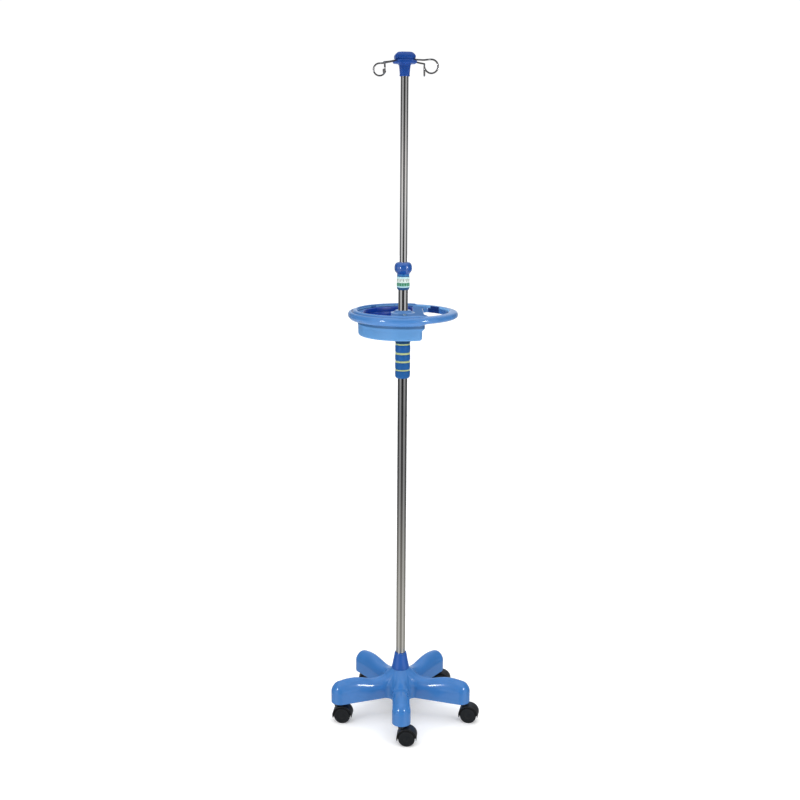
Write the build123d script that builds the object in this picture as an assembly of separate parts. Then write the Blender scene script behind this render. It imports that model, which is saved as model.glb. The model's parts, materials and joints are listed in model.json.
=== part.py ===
from build123d import *
import math
import os

os.makedirs("parts", exist_ok=True)

# Rolling drip stand. Millimetres, +Z up. The origin is on the floor, on the
# pole's axis. One leg of the base points along -Y.

# ------------------------------------------------------------ driving sizes
N_LEGS = 5
LEG_AZ = [-90 + 72 * k for k in range(N_LEGS)]
LEG_NAMES = ["front", "right", "back_right", "back_left", "left"]

# star base
Z_RIM = 62.5          # underside rim of the legs
Z_HUB = 147.0         # top of the hub, under the ferrule
LEG_HALF_TIP = 27.9   # half width of a leg at its round end
LEG_HALF_ROOT = 24.3  # half width extrapolated to the pole's axis
R_TIP = 194.5         # centre of the round end
CROTCH_R = 19.0       # plan radius between two legs
Z_SPRING = 93.0       # where the leg's side wall turns into its crown
CROWN_POW = 2.2       # roundness of the crown at the tip
CROWN_ROOT = 3.2      # and at the root, where it is flatter
WALL = 3.2
RIDGE = [(8, 137), (24, 140.5), (33, 140.0), (40, 136.0), (48, 131.5), (56, 127.6), (66, 124.2), (78, 122.0), (92, 122.2),
         (108, 127.0), (124, 132.0), (140, 134.8), (156, 135.6), (172, 134.8), (186, 132.5), (194.5, 130.6)]
HUB_PROFILE = [(27.2, 147.0), (30, 143.2), (33.5, 139.6), (38, 134.8), (44, 129.4), (50, 121.5), (58, 106.5), (68, 86.0), (80, 58.0)]

# casters
R_CASTER = 204.0      # swivel axis
WHEEL_R = 25.0
WHEEL_IN = 6.0        # inner face of a wheel from the caster's middle
WHEEL_OUT = 20.0      # outer face
TRAIL = 16.5          # swivel axis to wheel axle
HOOD_R = 30.2
HOOD_IN = 27.2
HOOD_HALF = 18.6
WEB_HALF = 5.5
HOOD_LOW = 16.0       # lower end of the hood beside the swivel
HOOD_LOW_TRAIL = 20.0 # lower end on the trailing side
STEM_R = 5.5
PILOT_R = 3.0
AXLE_R = 3.0
FIT = 0.06            # radial clearance of a running fit
SWIVEL_AZ = {"front": -5.6, "right": -12.3, "back_right": -9.0, "back_left": -4.0, "left": -7.1}

# poles
R_LOWER = 14.0
LOWER_WALL = 1.5
Z_LOWER_0 = 92.0
Z_LOWER_1 = 1352.0
R_UPPER = 11.0
UPPER_WALL = 1.2
Z_UPPER_0 = 958.0
Z_UPPER_1 = 1950.0

# grip
GRIP_R = 22.1
GRIP_Z = (1066.0, 1186.0)
GRIP_RINGS = [1089.7, 1114.0, 1138.0, 1166.3]
RING_HALF = 3.6

# handle ring and tray
RING_SECTION = [(160.0, 1254.4), (159.1, 1258.8), (156.6, 1262.2), (151.8, 1264.5), (146.5, 1265.3), (141.0, 1265.6),
                (137.0, 1265.2), (134.6, 1263.7), (133.5, 1260.5), (133.2, 1254.0), (133.3, 1248.5), (134.0, 1245.3),
                (136.0, 1243.6), (139.8, 1243.3), (144.5, 1244.1), (149.5, 1245.2), (154.8, 1247.0), (158.7, 1250.4)]
DECK_TOP = 1259.0
DECK_LOW = 1245.0
DECK_X = 60.5         # straight edge of the deck, along the hand opening
TONGUE = [(60.5, -28.0), (61.3, -35.0), (63.4, -42.0), (66.4, -50.0), (69.2, -58.0), (71.4, -67.0), (72.8, -77.0), (74.2, -90.0), (78.0, -115.0)]
FLARE_FAR, FLARE_FAR_Y = 26.0, 84.0
TUB_R = 130.0
TUB_X = 52.5
TUB_Z0 = 1194.6
TUB_Z1 = 1245.0

# lock
Z_BAND = (1331.0, 1363.8)
KNOB_TOP = 1405.5

# head and hooks
HOOK_AZ = -39.0
LOOP_AZ = -1.0
HOOK_WIRE = 2.4
# each hook as bent: radius of its loop, height of the loop's centre, fall of its arm,
# distance of the loop from the pole's axis, and the turn of the loop about the vertical
HOOKS = {"hook_front_right": (18.2, 1942.6, 0.085, 92.0, 0.0), "hook_back_right": (16.0, 1942.0, 0.100, 90.8, 0.0),
         "hook_back_left": (16.9, 1941.4, 0.100, 90.0, 0.0), "hook_front_left": (15.2, 1937.4, 0.180, 90.8, 8.0)}
HOOK_NAMES = list(HOOKS)


# ---------------------------------------------------------------- helpers
def cyl(r, z0, z1, x=0.0, y=0.0):
    return Pos(x, y, (z0 + z1) / 2) * Cylinder(r, z1 - z0)


def box(x0, x1, y0, y1, z0, z1):
    return Pos((x0 + x1) / 2, (y0 + y1) / 2, (z0 + z1) / 2) * Box(x1 - x0, y1 - y0, z1 - z0)


def rev(pts, arc=360.0):
    f = make_face(Polyline(*[(r, 0, z) for r, z in pts], close=True))
    return revolve(f, axis=Axis.Z, revolution_arc=arc)


def polar(r, az, z=0.0):
    a = math.radians(az)
    return (r * math.cos(a), r * math.sin(a), z)


def one(shape):
    """The single solid of a result, without a wrapping compound."""
    s = shape.solids()
    return s[0] if len(s) == 1 else Compound(children=list(s))


def save(shape, name):
    s = list(shape.solids()) if not isinstance(shape, list) else [q for k in shape for q in k.solids()]
    out = s[0] if len(s) == 1 else Compound(children=s)
    out.label = name
    export_step(out, f"parts/{name}.step")
    print(name, len(s), round(sum(q.volume for q in s) / 1000, 2), "cm3")


def lerp(table, x):
    if x <= table[0][0]:
        return table[0][1]
    for (x0, y0), (x1, y1) in zip(table, table[1:]):
        if x <= x1:
            return y0 + (y1 - y0) * (x - x0) / (x1 - x0)
    return table[-1][1]


# ------------------------------------------------------------------- base
def leg_half(r):
    return LEG_HALF_ROOT + (LEG_HALF_TIP - LEG_HALF_ROOT) * r / R_TIP


def crown_pow(x):
    u = min(1.0, max(0.0, (x - 70.0) / 65.0))
    return CROWN_ROOT + (CROWN_POW - CROWN_ROOT) * u


def arch_edges(x, w, zt, zs):
    """The crown of a leg's section: two mirrored half curves."""
    h, q = zt - zs, crown_pow(x)
    t = (0.0, 0.35, 0.65, 0.88, 1.0)
    right = Edge.make_spline([Vector(x, w * k, zt - h * k ** q) for k in t],
                             tangents=[Vector(0, 1, 0), Vector(0, 0.12, -1)])
    left = Edge.make_spline([Vector(x, -w * k, zt - h * k ** q) for k in reversed(t)],
                            tangents=[Vector(0, 0.12, 1), Vector(0, 1, 0)])
    return right, left


def arch_wire(x, w, zt, zs, zb):
    right, left = arch_edges(x, w, zt, zs)
    return Wire([
        right,
        Edge.make_line(Vector(x, w, zs), Vector(x, w, zb)),
        Edge.make_line(Vector(x, w, zb), Vector(x, -w, zb)),
        Edge.make_line(Vector(x, -w, zb), Vector(x, -w, zs)),
        left,
    ])


def leg_body(inset, drop, zb):
    """One leg along +X: a lofted crown, closed by a round end."""
    wires = [arch_wire(r, leg_half(r) - inset + 0.4, z - drop, Z_SPRING - drop * 0.3, zb) for r, z in RIDGE]
    body = Solid.make_loft(wires, False)
    w = LEG_HALF_TIP - inset + 0.4
    zt, zs = RIDGE[-1][1] - drop, Z_SPRING - drop * 0.3
    h = zt - zs
    t = (0.0, 0.35, 0.65, 0.88, 1.0)
    crown = Edge.make_spline([Vector(w * k, 0, zt - h * k ** CROWN_POW) for k in t],
                             tangents=[Vector(1, 0, 0), Vector(0.12, 0, -1)])
    prof = Wire([crown, Edge.make_line(Vector(w, 0, zs), Vector(w, 0, zb)),
                 Edge.make_line(Vector(w, 0, zb), Vector(0, 0, zb)),
                 Edge.make_line(Vector(0, 0, zb), Vector(0, 0, zt))])
    dome = Rot(0, 0, -90) * revolve(Face(prof), axis=Axis.Z, revolution_arc=180)
    return Part(body.wrapped) + Pos(RIDGE[-1][0], 0, 0) * dome


def star(inset, fillet_r, z0, z1):
    """The plan of the base as a prism."""
    sk = Sketch()
    for az in LEG_AZ:
        a0, a1 = LEG_HALF_ROOT - inset, LEG_HALF_TIP - inset
        leg = make_face(Polyline((0, -a0), (R_TIP, -a1), (R_TIP, a1), (0, a0), close=True))
        leg = leg + Pos(R_TIP, 0) * Circle(a1)
        sk = sk + Rot(0, 0, az) * leg
    near = [v for v in sk.vertices() if Vector(v.X, v.Y, 0).length < 60]
    sk = fillet(near, fillet_r)
    return Pos(0, 0, z0) * extrude(sk, amount=z1 - z0)


def base_form(inset, drop, fillet_r, zb):
    hub = rev([(0, zb - 2)] + [(HUB_PROFILE[-1][0], zb - 2)] +
              [(r - inset * 0.8, z - drop) for r, z in reversed(HUB_PROFILE)] + [(0, Z_HUB - drop)])
    form = hub
    leg = leg_body(inset, drop, zb - 2)
    for az in LEG_AZ:
        form = form + Rot(0, 0, az) * leg
    return form & star(inset, fillet_r, zb, 170)


base_outer = base_form(0.0, 0.0, CROTCH_R, Z_RIM)
base_inner = base_form(WALL, 3.4, CROTCH_R + WALL, Z_RIM - 1.5)
base = base_outer - base_inner
inside = base_outer
boss = cyl(24, 86, 145)
base = base + (boss & inside)
for az in LEG_AZ:
    crest = [(20, 136.0)] + [(r, z - 1.7) for r, z in RIDGE if r >= 24] + [(196.5, 129.0)]
    face = make_face(Polyline(*[(r, 1.5, z) for r, z in [(20, 86.0)] + crest + [(196.5, 86.0)]], close=True))
    base = base + Rot(0, 0, az) * extrude(face, amount=3.0, dir=(0, -1, 0))
    x, y, _ = polar(R_CASTER, az)
    base = base + (cyl(12.0, 66, 121, x, y) & inside)
base = base - cyl(R_LOWER + 0.05, Z_LOWER_0, 160) - cyl(6.6, 80, 100)
for az in LEG_AZ:
    x, y, _ = polar(R_CASTER, az)
    base = base - cyl(8.0, 60, 112, x, y)
save(base, "base_shell")

# hub hardware: a steel plate under the boss, and a bolt into the plug of the tube
hub_plate = cyl(44, 79, 86) - cyl(6.6, 78, 87)
save(hub_plate, "hub_plate")
lock_washer = cyl(10.5, 76.5, 79) - cyl(6.1, 76, 80)
save(lock_washer, "lock_washer")
hexagon = Pos(0, 0, 69) * extrude(RegularPolygon(10.4, 6), amount=7.5)
pole_bolt = hexagon + cyl(6.0, 76.0, 118)
save(pole_bolt, "pole_bolt")
tube_plug = cyl(12.5, Z_LOWER_0, 124) - cyl(6.0, 90, 118.5)
save(tube_plug, "tube_plug")

ferrule = rev([(R_LOWER + 0.05, 147.0), (26.6, 147.0), (26.6, 148.2), (18.2, 196.3), (17.4, 198.2), (R_LOWER + 0.05, 198.2)])
ferrule = ferrule - rev([(R_LOWER, 146.0), (23.4, 146.0), (17.0, 184.0), (R_LOWER, 184.0)])
save(ferrule, "pole_ferrule")

# ---------------------------------------------------------------- casters
sockets, stems = [], []
for az in LEG_AZ:
    x, y, _ = polar(R_CASTER, az)
    s = cyl(8.0, 65.8, 111.5, x, y) + cyl(11.0, 64.3, 66.0, x, y)
    s = s - cyl(STEM_R, 60, 106, x, y)
    sockets.append(s)
    st = cyl(STEM_R, 52.0, 105.5, x, y) + cyl(PILOT_R, 31.0, 53.0, x, y) + cyl(9.0, 62.2, 64.3, x, y)
    stems.append(st)
save(sockets, "caster_sockets")
save(stems, "caster_stems")


def ring_y(r, y0, y1):
    """A disc about the wheel axis, from y0 to y1."""
    return Pos(0, (y0 + y1) / 2, WHEEL_R) * (Rot(90, 0, 0) * Cylinder(r, abs(y1 - y0)))


def caster_parts():
    """A caster with its wheel axis through the origin, along Y, and its swivel at -X."""
    hood = ring_y(HOOD_R, -HOOD_HALF, HOOD_HALF)
    hood = fillet([e for e in hood.edges() if e.geom_type == GeomType.CIRCLE], 3.0)
    hood = hood + cyl(7.8, 45.0, 61.6, -TRAIL, 0)
    hood = hood - ring_y(HOOD_IN, WEB_HALF, 30) - ring_y(HOOD_IN, -30, -WEB_HALF)
    hood = hood - box(-40, 40, -30, 30, -20, HOOD_LOW) - box(12, 40, -30, 30, -20, HOOD_LOW_TRAIL)
    hood = hood - cyl(STEM_R + FIT, 51.6, 62, -TRAIL, 0) - cyl(PILOT_R + FIT, 30.6, 52, -TRAIL, 0)
    hood = hood - ring_y(AXLE_R, -10, 10)
    axle = ring_y(AXLE_R, -17, 17)

    def wheel(s):
        prof = [(AXLE_R + FIT, WHEEL_IN), (9.0, WHEEL_IN), (10.0, WHEEL_IN + 1.0), (20.0, WHEEL_IN + 1.0), (21.0, WHEEL_IN),
                (24.0, WHEEL_IN), (25.0, WHEEL_IN + 1.2), (25.0, WHEEL_OUT - 3.0), (24.2, WHEEL_OUT - 1.2), (22.6, WHEEL_OUT - 0.2),
                (21.6, WHEEL_OUT), (20.6, WHEEL_OUT - 0.9), (0, WHEEL_OUT - 0.9), (0, 17.4), (AXLE_R + FIT, 17.4)]
        f = make_face(Polyline(*[(r, s * yy, 0) for r, yy in prof], close=True))
        return Pos(0, 0, WHEEL_R) * revolve(f, axis=Axis.Y)

    return hood, axle, wheel(-1), wheel(1)


hood, axle, wheel_a, wheel_b = caster_parts()
for name, az in zip(LEG_NAMES, LEG_AZ):
    x, y, _ = polar(R_CASTER, az)
    place = Pos(x, y, 0) * Rot(0, 0, SWIVEL_AZ[name]) * Pos(TRAIL, 0, 0)
    save(place * hood, f"caster_{name}_hood")
    save(place * axle, f"caster_{name}_axle")
    save(place * wheel_a, f"caster_{name}_wheel_a")
    save(place * wheel_b, f"caster_{name}_wheel_b")

# ------------------------------------------------------------------ poles
lower_tube = cyl(R_LOWER, Z_LOWER_0, Z_LOWER_1) - cyl(R_LOWER - LOWER_WALL, Z_LOWER_0 - 1, Z_LOWER_1 + 1)
save(lower_tube, "lower_tube")
upper_tube = cyl(R_UPPER, Z_UPPER_0, Z_UPPER_1) - cyl(R_UPPER - UPPER_WALL, Z_UPPER_0 - 1, Z_UPPER_1 + 1)
save(upper_tube, "upper_tube")
guide_bush = cyl(R_LOWER - LOWER_WALL - 0.08, Z_UPPER_0 - 4, Z_UPPER_0 + 36) - cyl(R_UPPER, Z_UPPER_0, Z_UPPER_0 + 40) - cyl(8.5, Z_UPPER_0 - 6, Z_UPPER_0 + 1)
save(guide_bush, "guide_bush")

# ------------------------------------------------------------------- grip
prof = [(R_LOWER + 0.05, GRIP_Z[0]), (GRIP_R - 3.4, GRIP_Z[0]), (GRIP_R - 1.0, GRIP_Z[0] + 1.2), (GRIP_R, GRIP_Z[0] + 4.0)]
for zc in GRIP_RINGS:
    prof += [(GRIP_R, zc - RING_HALF - 2.4), (GRIP_R - 0.6, zc - RING_HALF - 0.7), (GRIP_R - 1.9, zc - RING_HALF),
             (GRIP_R - 1.9, zc + RING_HALF), (GRIP_R - 0.6, zc + RING_HALF + 0.7), (GRIP_R, zc + RING_HALF + 2.4)]
prof += [(GRIP_R, GRIP_Z[1] - 1.5), (GRIP_R - 1.5, GRIP_Z[1]), (R_LOWER + 0.05, GRIP_Z[1])]
save(rev(prof), "grip_sleeve")
rings = [rev([(GRIP_R - 1.9, zc - RING_HALF), (GRIP_R - 0.7, zc - RING_HALF), (GRIP_R - 0.3, zc - RING_HALF + 1.2),
              (GRIP_R - 0.3, zc + RING_HALF - 1.2), (GRIP_R - 0.7, zc + RING_HALF), (GRIP_R - 1.9, zc + RING_HALF)]) for zc in GRIP_RINGS]
save(rings, "grip_rings")

# tray support: a clamped collar on the pole, with its grub screw
collar = cyl(21.6, GRIP_Z[1], TUB_Z0) - cyl(R_LOWER, GRIP_Z[1] - 1, TUB_Z0 + 1)
grub_hole = Pos(0, 18.0, (GRIP_Z[1] + TUB_Z0) / 2) * (Rot(90, 0, 0) * Cylinder(2.5, 8.0))
collar = collar - grub_hole
save(collar, "tray_collar")
grub = Pos(0, 17.7, (GRIP_Z[1] + TUB_Z0) / 2) * (Rot(90, 0, 0) * Cylinder(2.5, 7.0)) & (cyl(21.2, 1180, 1200) - cyl(R_LOWER, 1180, 1200))
save(grub, "collar_screw")


# ------------------------------------------------------------ tray, upper
def half_plane(x0, x1, y0, y1):
    return Pos((x0 + x1) / 2, (y0 + y1) / 2) * Rectangle(x1 - x0, y1 - y0)


def pocket_2d(grow=0.0):
    g = grow
    side = half_plane(-115 - g, -35 + g, -68 - g, 140)
    back = half_plane(-115 - g, 30 + g, 32 - g, 140)
    p = (side + back) & Circle(129.0 + g)
    vs = [v for v in p.vertices() if abs(v.X + 115 + g) < 0.01 or (abs(v.X + 35 - g) < 0.01 and v.Y < 0)]
    return fillet(vs, 12.0)


def deck_2d(grow=0.0):
    """The deck's plan: a straight edge along the hand opening, with a tongue in front and a flare behind."""
    d = half_plane(-140, DECK_X - grow, -140, 140)
    near = make_face(Polyline(*([(x - grow, y - grow * 0.4) for x, y in TONGUE] + [(DECK_X - grow - 8.0, -118.0), (DECK_X - grow - 8.0, -28.0)]), close=True))
    far = half_plane(DECK_X - grow, DECK_X + FLARE_FAR, FLARE_FAR_Y, 140) - Pos(DECK_X + FLARE_FAR, FLARE_FAR_Y) * Circle(FLARE_FAR + grow)
    return (d + near + far) & Circle(137.0 - grow * 1.1)


ring_edge = Edge.make_spline([Vector(r, 0, z) for r, z in RING_SECTION], periodic=True)
ring = revolve(Face(Wire([ring_edge])), axis=Axis.Z)
top_plate = Pos(0, 0, DECK_LOW) * extrude(deck_2d() - pocket_2d(), amount=DECK_TOP - DECK_LOW)
# the deck is a 3.5 mm skin with a rim round the pocket and along the hand opening
under = deck_2d(3.2) - pocket_2d(3.2)
core = Pos(0, 0, DECK_LOW - 1) * extrude(under, amount=DECK_TOP - DECK_LOW - 2.5)
tray_top = top_plate - core
lip_prof = [(134.4, 1252.0), (134.4, 1266.0), (135.6, 1268.0), (138.0, 1268.6), (141.0, 1268.0), (144.2, 1265.8), (147.4, 1261.4), (147.4, 1252.0)]
lip = Rot(0, 0, 71) * rev(lip_prof, arc=229)
tray_top = tray_top + ring + lip
# round the deck the ring's section is taller and reaches down over the tub's flange
skirt_pts = [(145.7 + 13.9 * math.cos(2 * math.pi * k / 40), 1251.6 + 12.8 * math.sin(2 * math.pi * k / 40)) for k in range(40)]
skirt = revolve(Face(Wire([Edge.make_spline([Vector(r, 0, z) for r, z in skirt_pts], periodic=True)])), axis=Axis.Z, revolution_arc=222)
tray_top = tray_top + Rot(0, 0, 71) * skirt
hub = rev([(0, TUB_Z0 + 3.0), (22.0, TUB_Z0 + 3.0), (22.0, 1250.0), (34.0, 1257.0), (34.0, 1259.0), (29.0, 1260.2), (24.5, 1263.2), (22.5, 1265.6), (20.5, 1266.4), (0, 1266.4)])
tray_top = tray_top + hub
SCREWS = [(-18.0, -78.0), (36.0, -72.0), (36.0, 8.0)]
for x, y in SCREWS:
    tray_top = tray_top + cyl(5.0, TUB_Z0 + 3.0, 1257.0, x, y)
tray_top = tray_top - cyl(R_LOWER + 0.05, 1190, 1280)
for x, y in SCREWS:
    tray_top = tray_top - cyl(1.8, 1190, 1216, x, y)
DECK_SCREW = (3.0, -56.0)
tray_top = tray_top + cyl(5.0, 1230.0, 1257.0, *DECK_SCREW) - cyl(2.0, 1236.0, 1262.0, *DECK_SCREW)
save(tray_top, "tray_top")

deck_screw = cyl(2.0, 1240.0, 1260.0, *DECK_SCREW) + Pos(DECK_SCREW[0], DECK_SCREW[1], 0) * rev([(0, 1259.0), (5.2, 1259.0), (5.2, 1260.2), (4.2, 1261.7), (2.4, 1262.5), (0, 1262.6)])
save(deck_screw, "deck_screw")


# ------------------------------------------------------------ tray, lower
def tub_2d(r, x, corner):
    p = Circle(r) & half_plane(-200, x, -200, 200)
    return fillet(p.vertices(), corner)


tub = Pos(0, 0, TUB_Z0) * extrude(tub_2d(TUB_R, TUB_X, 14.0), amount=TUB_Z1 - TUB_Z0)
low = [e for e in tub.edges() if abs(e.center().Z - TUB_Z0) < 0.01]
tub = fillet(low, 7.0)
flange = loft([Pos(0, 0, 1221.5) * tub_2d(TUB_R + 0.3, TUB_X + 0.3, 14.0), Pos(0, 0, 1229.0) * tub_2d(TUB_R + 1.2, TUB_X + 7.5, 14.0)], ruled=True)
flange = flange + Pos(0, 0, 1229.0) * extrude(tub_2d(TUB_R + 1.2, TUB_X + 7.5, 14.0), amount=TUB_Z1 - 1229.0)
tub = tub + flange
cavity = Pos(0, 0, TUB_Z0 + 3.0) * extrude(tub_2d(TUB_R - 3.0, TUB_X - 3.0, 11.0), amount=60)
cav_low = [e for e in cavity.edges() if abs(e.center().Z - TUB_Z0 - 3.0) < 0.01]
cavity = fillet(cav_low, 5.0)
tub = tub - cavity - cyl(R_LOWER + 0.3, 1190, 1200)
for x, y in SCREWS:
    tub = tub - cyl(2.1, 1190, 1200, x, y)
save(tub, "tray_tub")
screws = []
for x, y in SCREWS:
    screws.append(cyl(1.8, TUB_Z0 - 1, 1214.0, x, y) + cyl(4.0, TUB_Z0 - 2.4, TUB_Z0, x, y))
save(screws, "tray_screws")

# ------------------------------------------------------------------- lock
clamp_body = rev([
    (R_LOWER + 0.05, 1323.5), (15.2, 1323.5), (18.2, 1329.4), (18.2, Z_BAND[0]), (17.4, Z_BAND[0]), (17.4, 1364.4),
    (15.0, 1364.4), (15.0, 1384.0), (13.4, 1386.0), (13.2, 1386.0), (13.2, 1364.0), (R_UPPER + 0.6, 1362.0), (R_UPPER + 0.6, Z_LOWER_1),
    (R_LOWER + 0.05, Z_LOWER_1)])
save(clamp_body, "clamp_body")
label_band = cyl(18.2, *Z_BAND) - cyl(17.4, Z_BAND[0] - 1, Z_BAND[1] + 1)
save(label_band, "label_band")
collet = rev([(R_UPPER + FIT, 1364.5), (13.1, 1364.5), (13.1, 1387.0), (14.2, 1388.5), (14.2, 1391.0), (R_UPPER + FIT, 1391.0)])
collet = collet - box(-0.5, 0.5, 0, 20, 1360, 1395)
save(collet, "collet")
knob_prof = [(15.0 + FIT, 1365.0), (16.9, 1365.0), (17.1, 1365.8), (17.2, 1368.4), (18.2, 1370.3), (21.9, 1374.0), (24.7, 1379.2), (25.8, 1385.5),
             (25.5, 1391.0), (24.0, 1396.8), (20.8, 1401.6), (16.8, 1404.3), (13.4, KNOB_TOP), (R_UPPER + 0.3, KNOB_TOP),
             (R_UPPER + 0.3, 1394.0), (14.6, 1392.0), (14.6, 1387.0), (15.0 + FIT, 1386.4)]
save(rev(knob_prof), "lock_knob")


# ------------------------------------------------------------------- head
def octagon(w, c, z):
    h = w / 2
    return make_face(Polyline((h, -h + c, z), (h, h - c, z), (h - c, h, z), (-h + c, h, z), (-h, h - c, z), (-h, -h + c, z), (-h + c, -h, z), (h - c, -h, z), close=True))


def stack(*secs):
    s = None
    for a, b in zip(secs, secs[1:]):
        k = loft([octagon(*a), octagon(*b)], ruled=True)
        s = k if s is None else s + k
    return s


def hook_arm(k, r0, r1, rad):
    """The straight part of a hook's wire, from radius r0 to r1."""
    az = HOOK_AZ + 90 * k
    p0, p1 = Vector(*polar(r0, az, arm_z(k, r0))), Vector(*polar(r1, az, arm_z(k, r1)))
    return Solid.make_cylinder(rad, (p1 - p0).length, Plane(origin=p0, z_dir=(p1 - p0)))


def arm_z(k, r):
    return 1964.6 - HOOKS[HOOK_NAMES[k]][2] * (r - 14.0)


head_body = stack((50, 15, 1952.6), (60.0, 17, 1953.6), (63.6, 16, 1956.0), (63.6, 12, 1960.8), (60.6, 11, 1962.6), (54, 10, 1965.2))
head_body = head_body + stack((26.6, 4.6, 1923.0), (28.2, 3.6, 1939.0), (30.6, 2.2, 1949.6), (38.0, 4.0, 1953.4))
head_body = Rot(0, 0, HOOK_AZ + 45) * head_body
head_body = head_body + rev([(0, 1919.4), (13.6, 1919.4), (14.3, 1920.2), (14.3, 1923.2), (13.2, 1926.0), (0, 1926.0)])
head_body = head_body - cyl(R_UPPER, 1917.0, Z_UPPER_1)
head_cap = stack((54, 10, 1965.2), (55.6, 9, 1967.6), (56.6, 8, 1969.8), (56.6, 7.5, 1973.4), (53.0, 8, 1977.2), (44.0, 8, 1982.0), (37.5, 7, 1984.2))
head_cap = Rot(0, 0, HOOK_AZ + 45) * head_cap
for k in range(4):
    g = Part(hook_arm(k, 9.0, 60.0, HOOK_WIRE).wrapped)
    head_body = head_body - g
    head_cap = head_cap - g
head_body = head_body - cyl(2.6, 1945, 1970)
head_cap = head_cap - cyl(2.6, 1960, 1990) - cyl(5.0, 1981.0, 1990)
save(head_body, "head_body")
save(head_cap, "head_cap")
mast_plug = cyl(R_UPPER - UPPER_WALL, 1926.0, Z_UPPER_1) - cyl(2.5, 1930.0, 1960)
save(mast_plug, "mast_plug")
head_screw = cyl(2.5, 1936.0, 1981.6) + cyl(4.6, 1981.0, 1983.8) - Pos(0, 0, 1982.2) * extrude(RegularPolygon(2.2, 6), amount=3)
save(head_screw, "head_screw")

for k, name in enumerate(HOOK_NAMES):
    LOOP_R, LOOP_Z, _, LOOP_POS, LOOP_TURN = HOOKS[name]
    az, laz = HOOK_AZ + 90 * k, LOOP_AZ + LOOP_TURN + 90 * k
    e = Vector(*polar(1.0, laz, 0))
    up = Vector(0, 0, 1)
    c = Vector(*polar(LOOP_POS, az, LOOP_Z))
    p0 = Vector(*polar(9.0, az, arm_z(k, 9.0)))
    p1 = Vector(*polar(62.0, az, arm_z(k, 62.0)))
    top = c + up * LOOP_R
    line = Edge.make_line(p0, p1)
    bend = Edge.make_spline([p1, top], tangents=[(p1 - p0).normalized(), e])

    def on(deg):
        t = math.radians(deg)
        return c + e * (LOOP_R * math.sin(t)) + up * (LOOP_R * math.cos(t))

    arc1 = Edge.make_three_point_arc(top, on(65), on(130))
    arc2 = Edge.make_three_point_arc(on(130), on(192), on(254))
    path = Wire([line, bend, arc1, arc2])
    sec = Plane(origin=p0, z_dir=(p1 - p0)) * Circle(HOOK_WIRE)
    wire = sweep(sec, path=path)
    tip = Pos(*on(254)) * Sphere(HOOK_WIRE)
    save(wire + tip, name)
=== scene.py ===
import json
import math
import random

import bmesh
import bpy
from mathutils import Matrix, Vector
from mathutils.geometry import delaunay_2d_cdt

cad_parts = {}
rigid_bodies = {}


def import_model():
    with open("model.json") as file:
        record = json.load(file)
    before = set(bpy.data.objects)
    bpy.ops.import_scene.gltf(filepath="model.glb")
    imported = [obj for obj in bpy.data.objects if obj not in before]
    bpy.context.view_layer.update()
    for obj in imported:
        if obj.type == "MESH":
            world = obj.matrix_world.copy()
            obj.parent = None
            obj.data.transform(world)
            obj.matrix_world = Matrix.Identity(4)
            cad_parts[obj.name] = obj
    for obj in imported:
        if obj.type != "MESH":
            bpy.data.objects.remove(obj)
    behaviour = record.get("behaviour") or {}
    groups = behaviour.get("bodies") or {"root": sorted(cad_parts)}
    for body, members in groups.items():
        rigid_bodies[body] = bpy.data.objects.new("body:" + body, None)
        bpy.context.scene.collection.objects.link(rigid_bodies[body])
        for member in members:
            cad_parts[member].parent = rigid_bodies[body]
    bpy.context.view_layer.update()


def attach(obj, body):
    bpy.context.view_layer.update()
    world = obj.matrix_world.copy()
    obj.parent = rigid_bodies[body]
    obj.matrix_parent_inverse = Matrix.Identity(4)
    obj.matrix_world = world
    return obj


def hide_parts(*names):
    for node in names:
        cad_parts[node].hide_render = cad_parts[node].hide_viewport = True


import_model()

TAU = 2 * math.pi


# =====================================================================
# geometry tools. Sizes in this script are in millimetres; put() makes metres
# =====================================================================
def clamp(x, a=0.0, b=1.0):
    return a if x < a else b if x > b else x


def smooth(a, b, x):
    t = clamp((x - a) / (b - a))
    return t * t * (3 - 2 * t)


def lerp(a, b, t):
    return a + (b - a) * t


def pchip(table):
    """A smooth curve through points, with no overshoot."""
    xs, ys = [p[0] for p in table], [p[1] for p in table]
    n = len(xs)
    h = [xs[i + 1] - xs[i] for i in range(n - 1)]
    d = [(ys[i + 1] - ys[i]) / h[i] for i in range(n - 1)]
    m = [d[0]] + [0.0] * (n - 2) + [d[-1]]
    for i in range(1, n - 1):
        if d[i - 1] * d[i] > 0:
            w1, w2 = 2 * h[i] + h[i - 1], h[i] + 2 * h[i - 1]
            m[i] = (w1 + w2) / (w1 / d[i - 1] + w2 / d[i])

    def f(x):
        if x <= xs[0]:
            return ys[0] + m[0] * (x - xs[0])
        if x >= xs[-1]:
            return ys[-1] + m[-1] * (x - xs[-1])
        i = max(k for k in range(n - 1) if xs[k] <= x)
        t = (x - xs[i]) / h[i]
        return ((1 + 2 * t) * (1 - t) ** 2 * ys[i] + t * (1 - t) ** 2 * h[i] * m[i]
                + t * t * (3 - 2 * t) * ys[i + 1] + t * t * (t - 1) * h[i] * m[i + 1])

    return f


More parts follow.
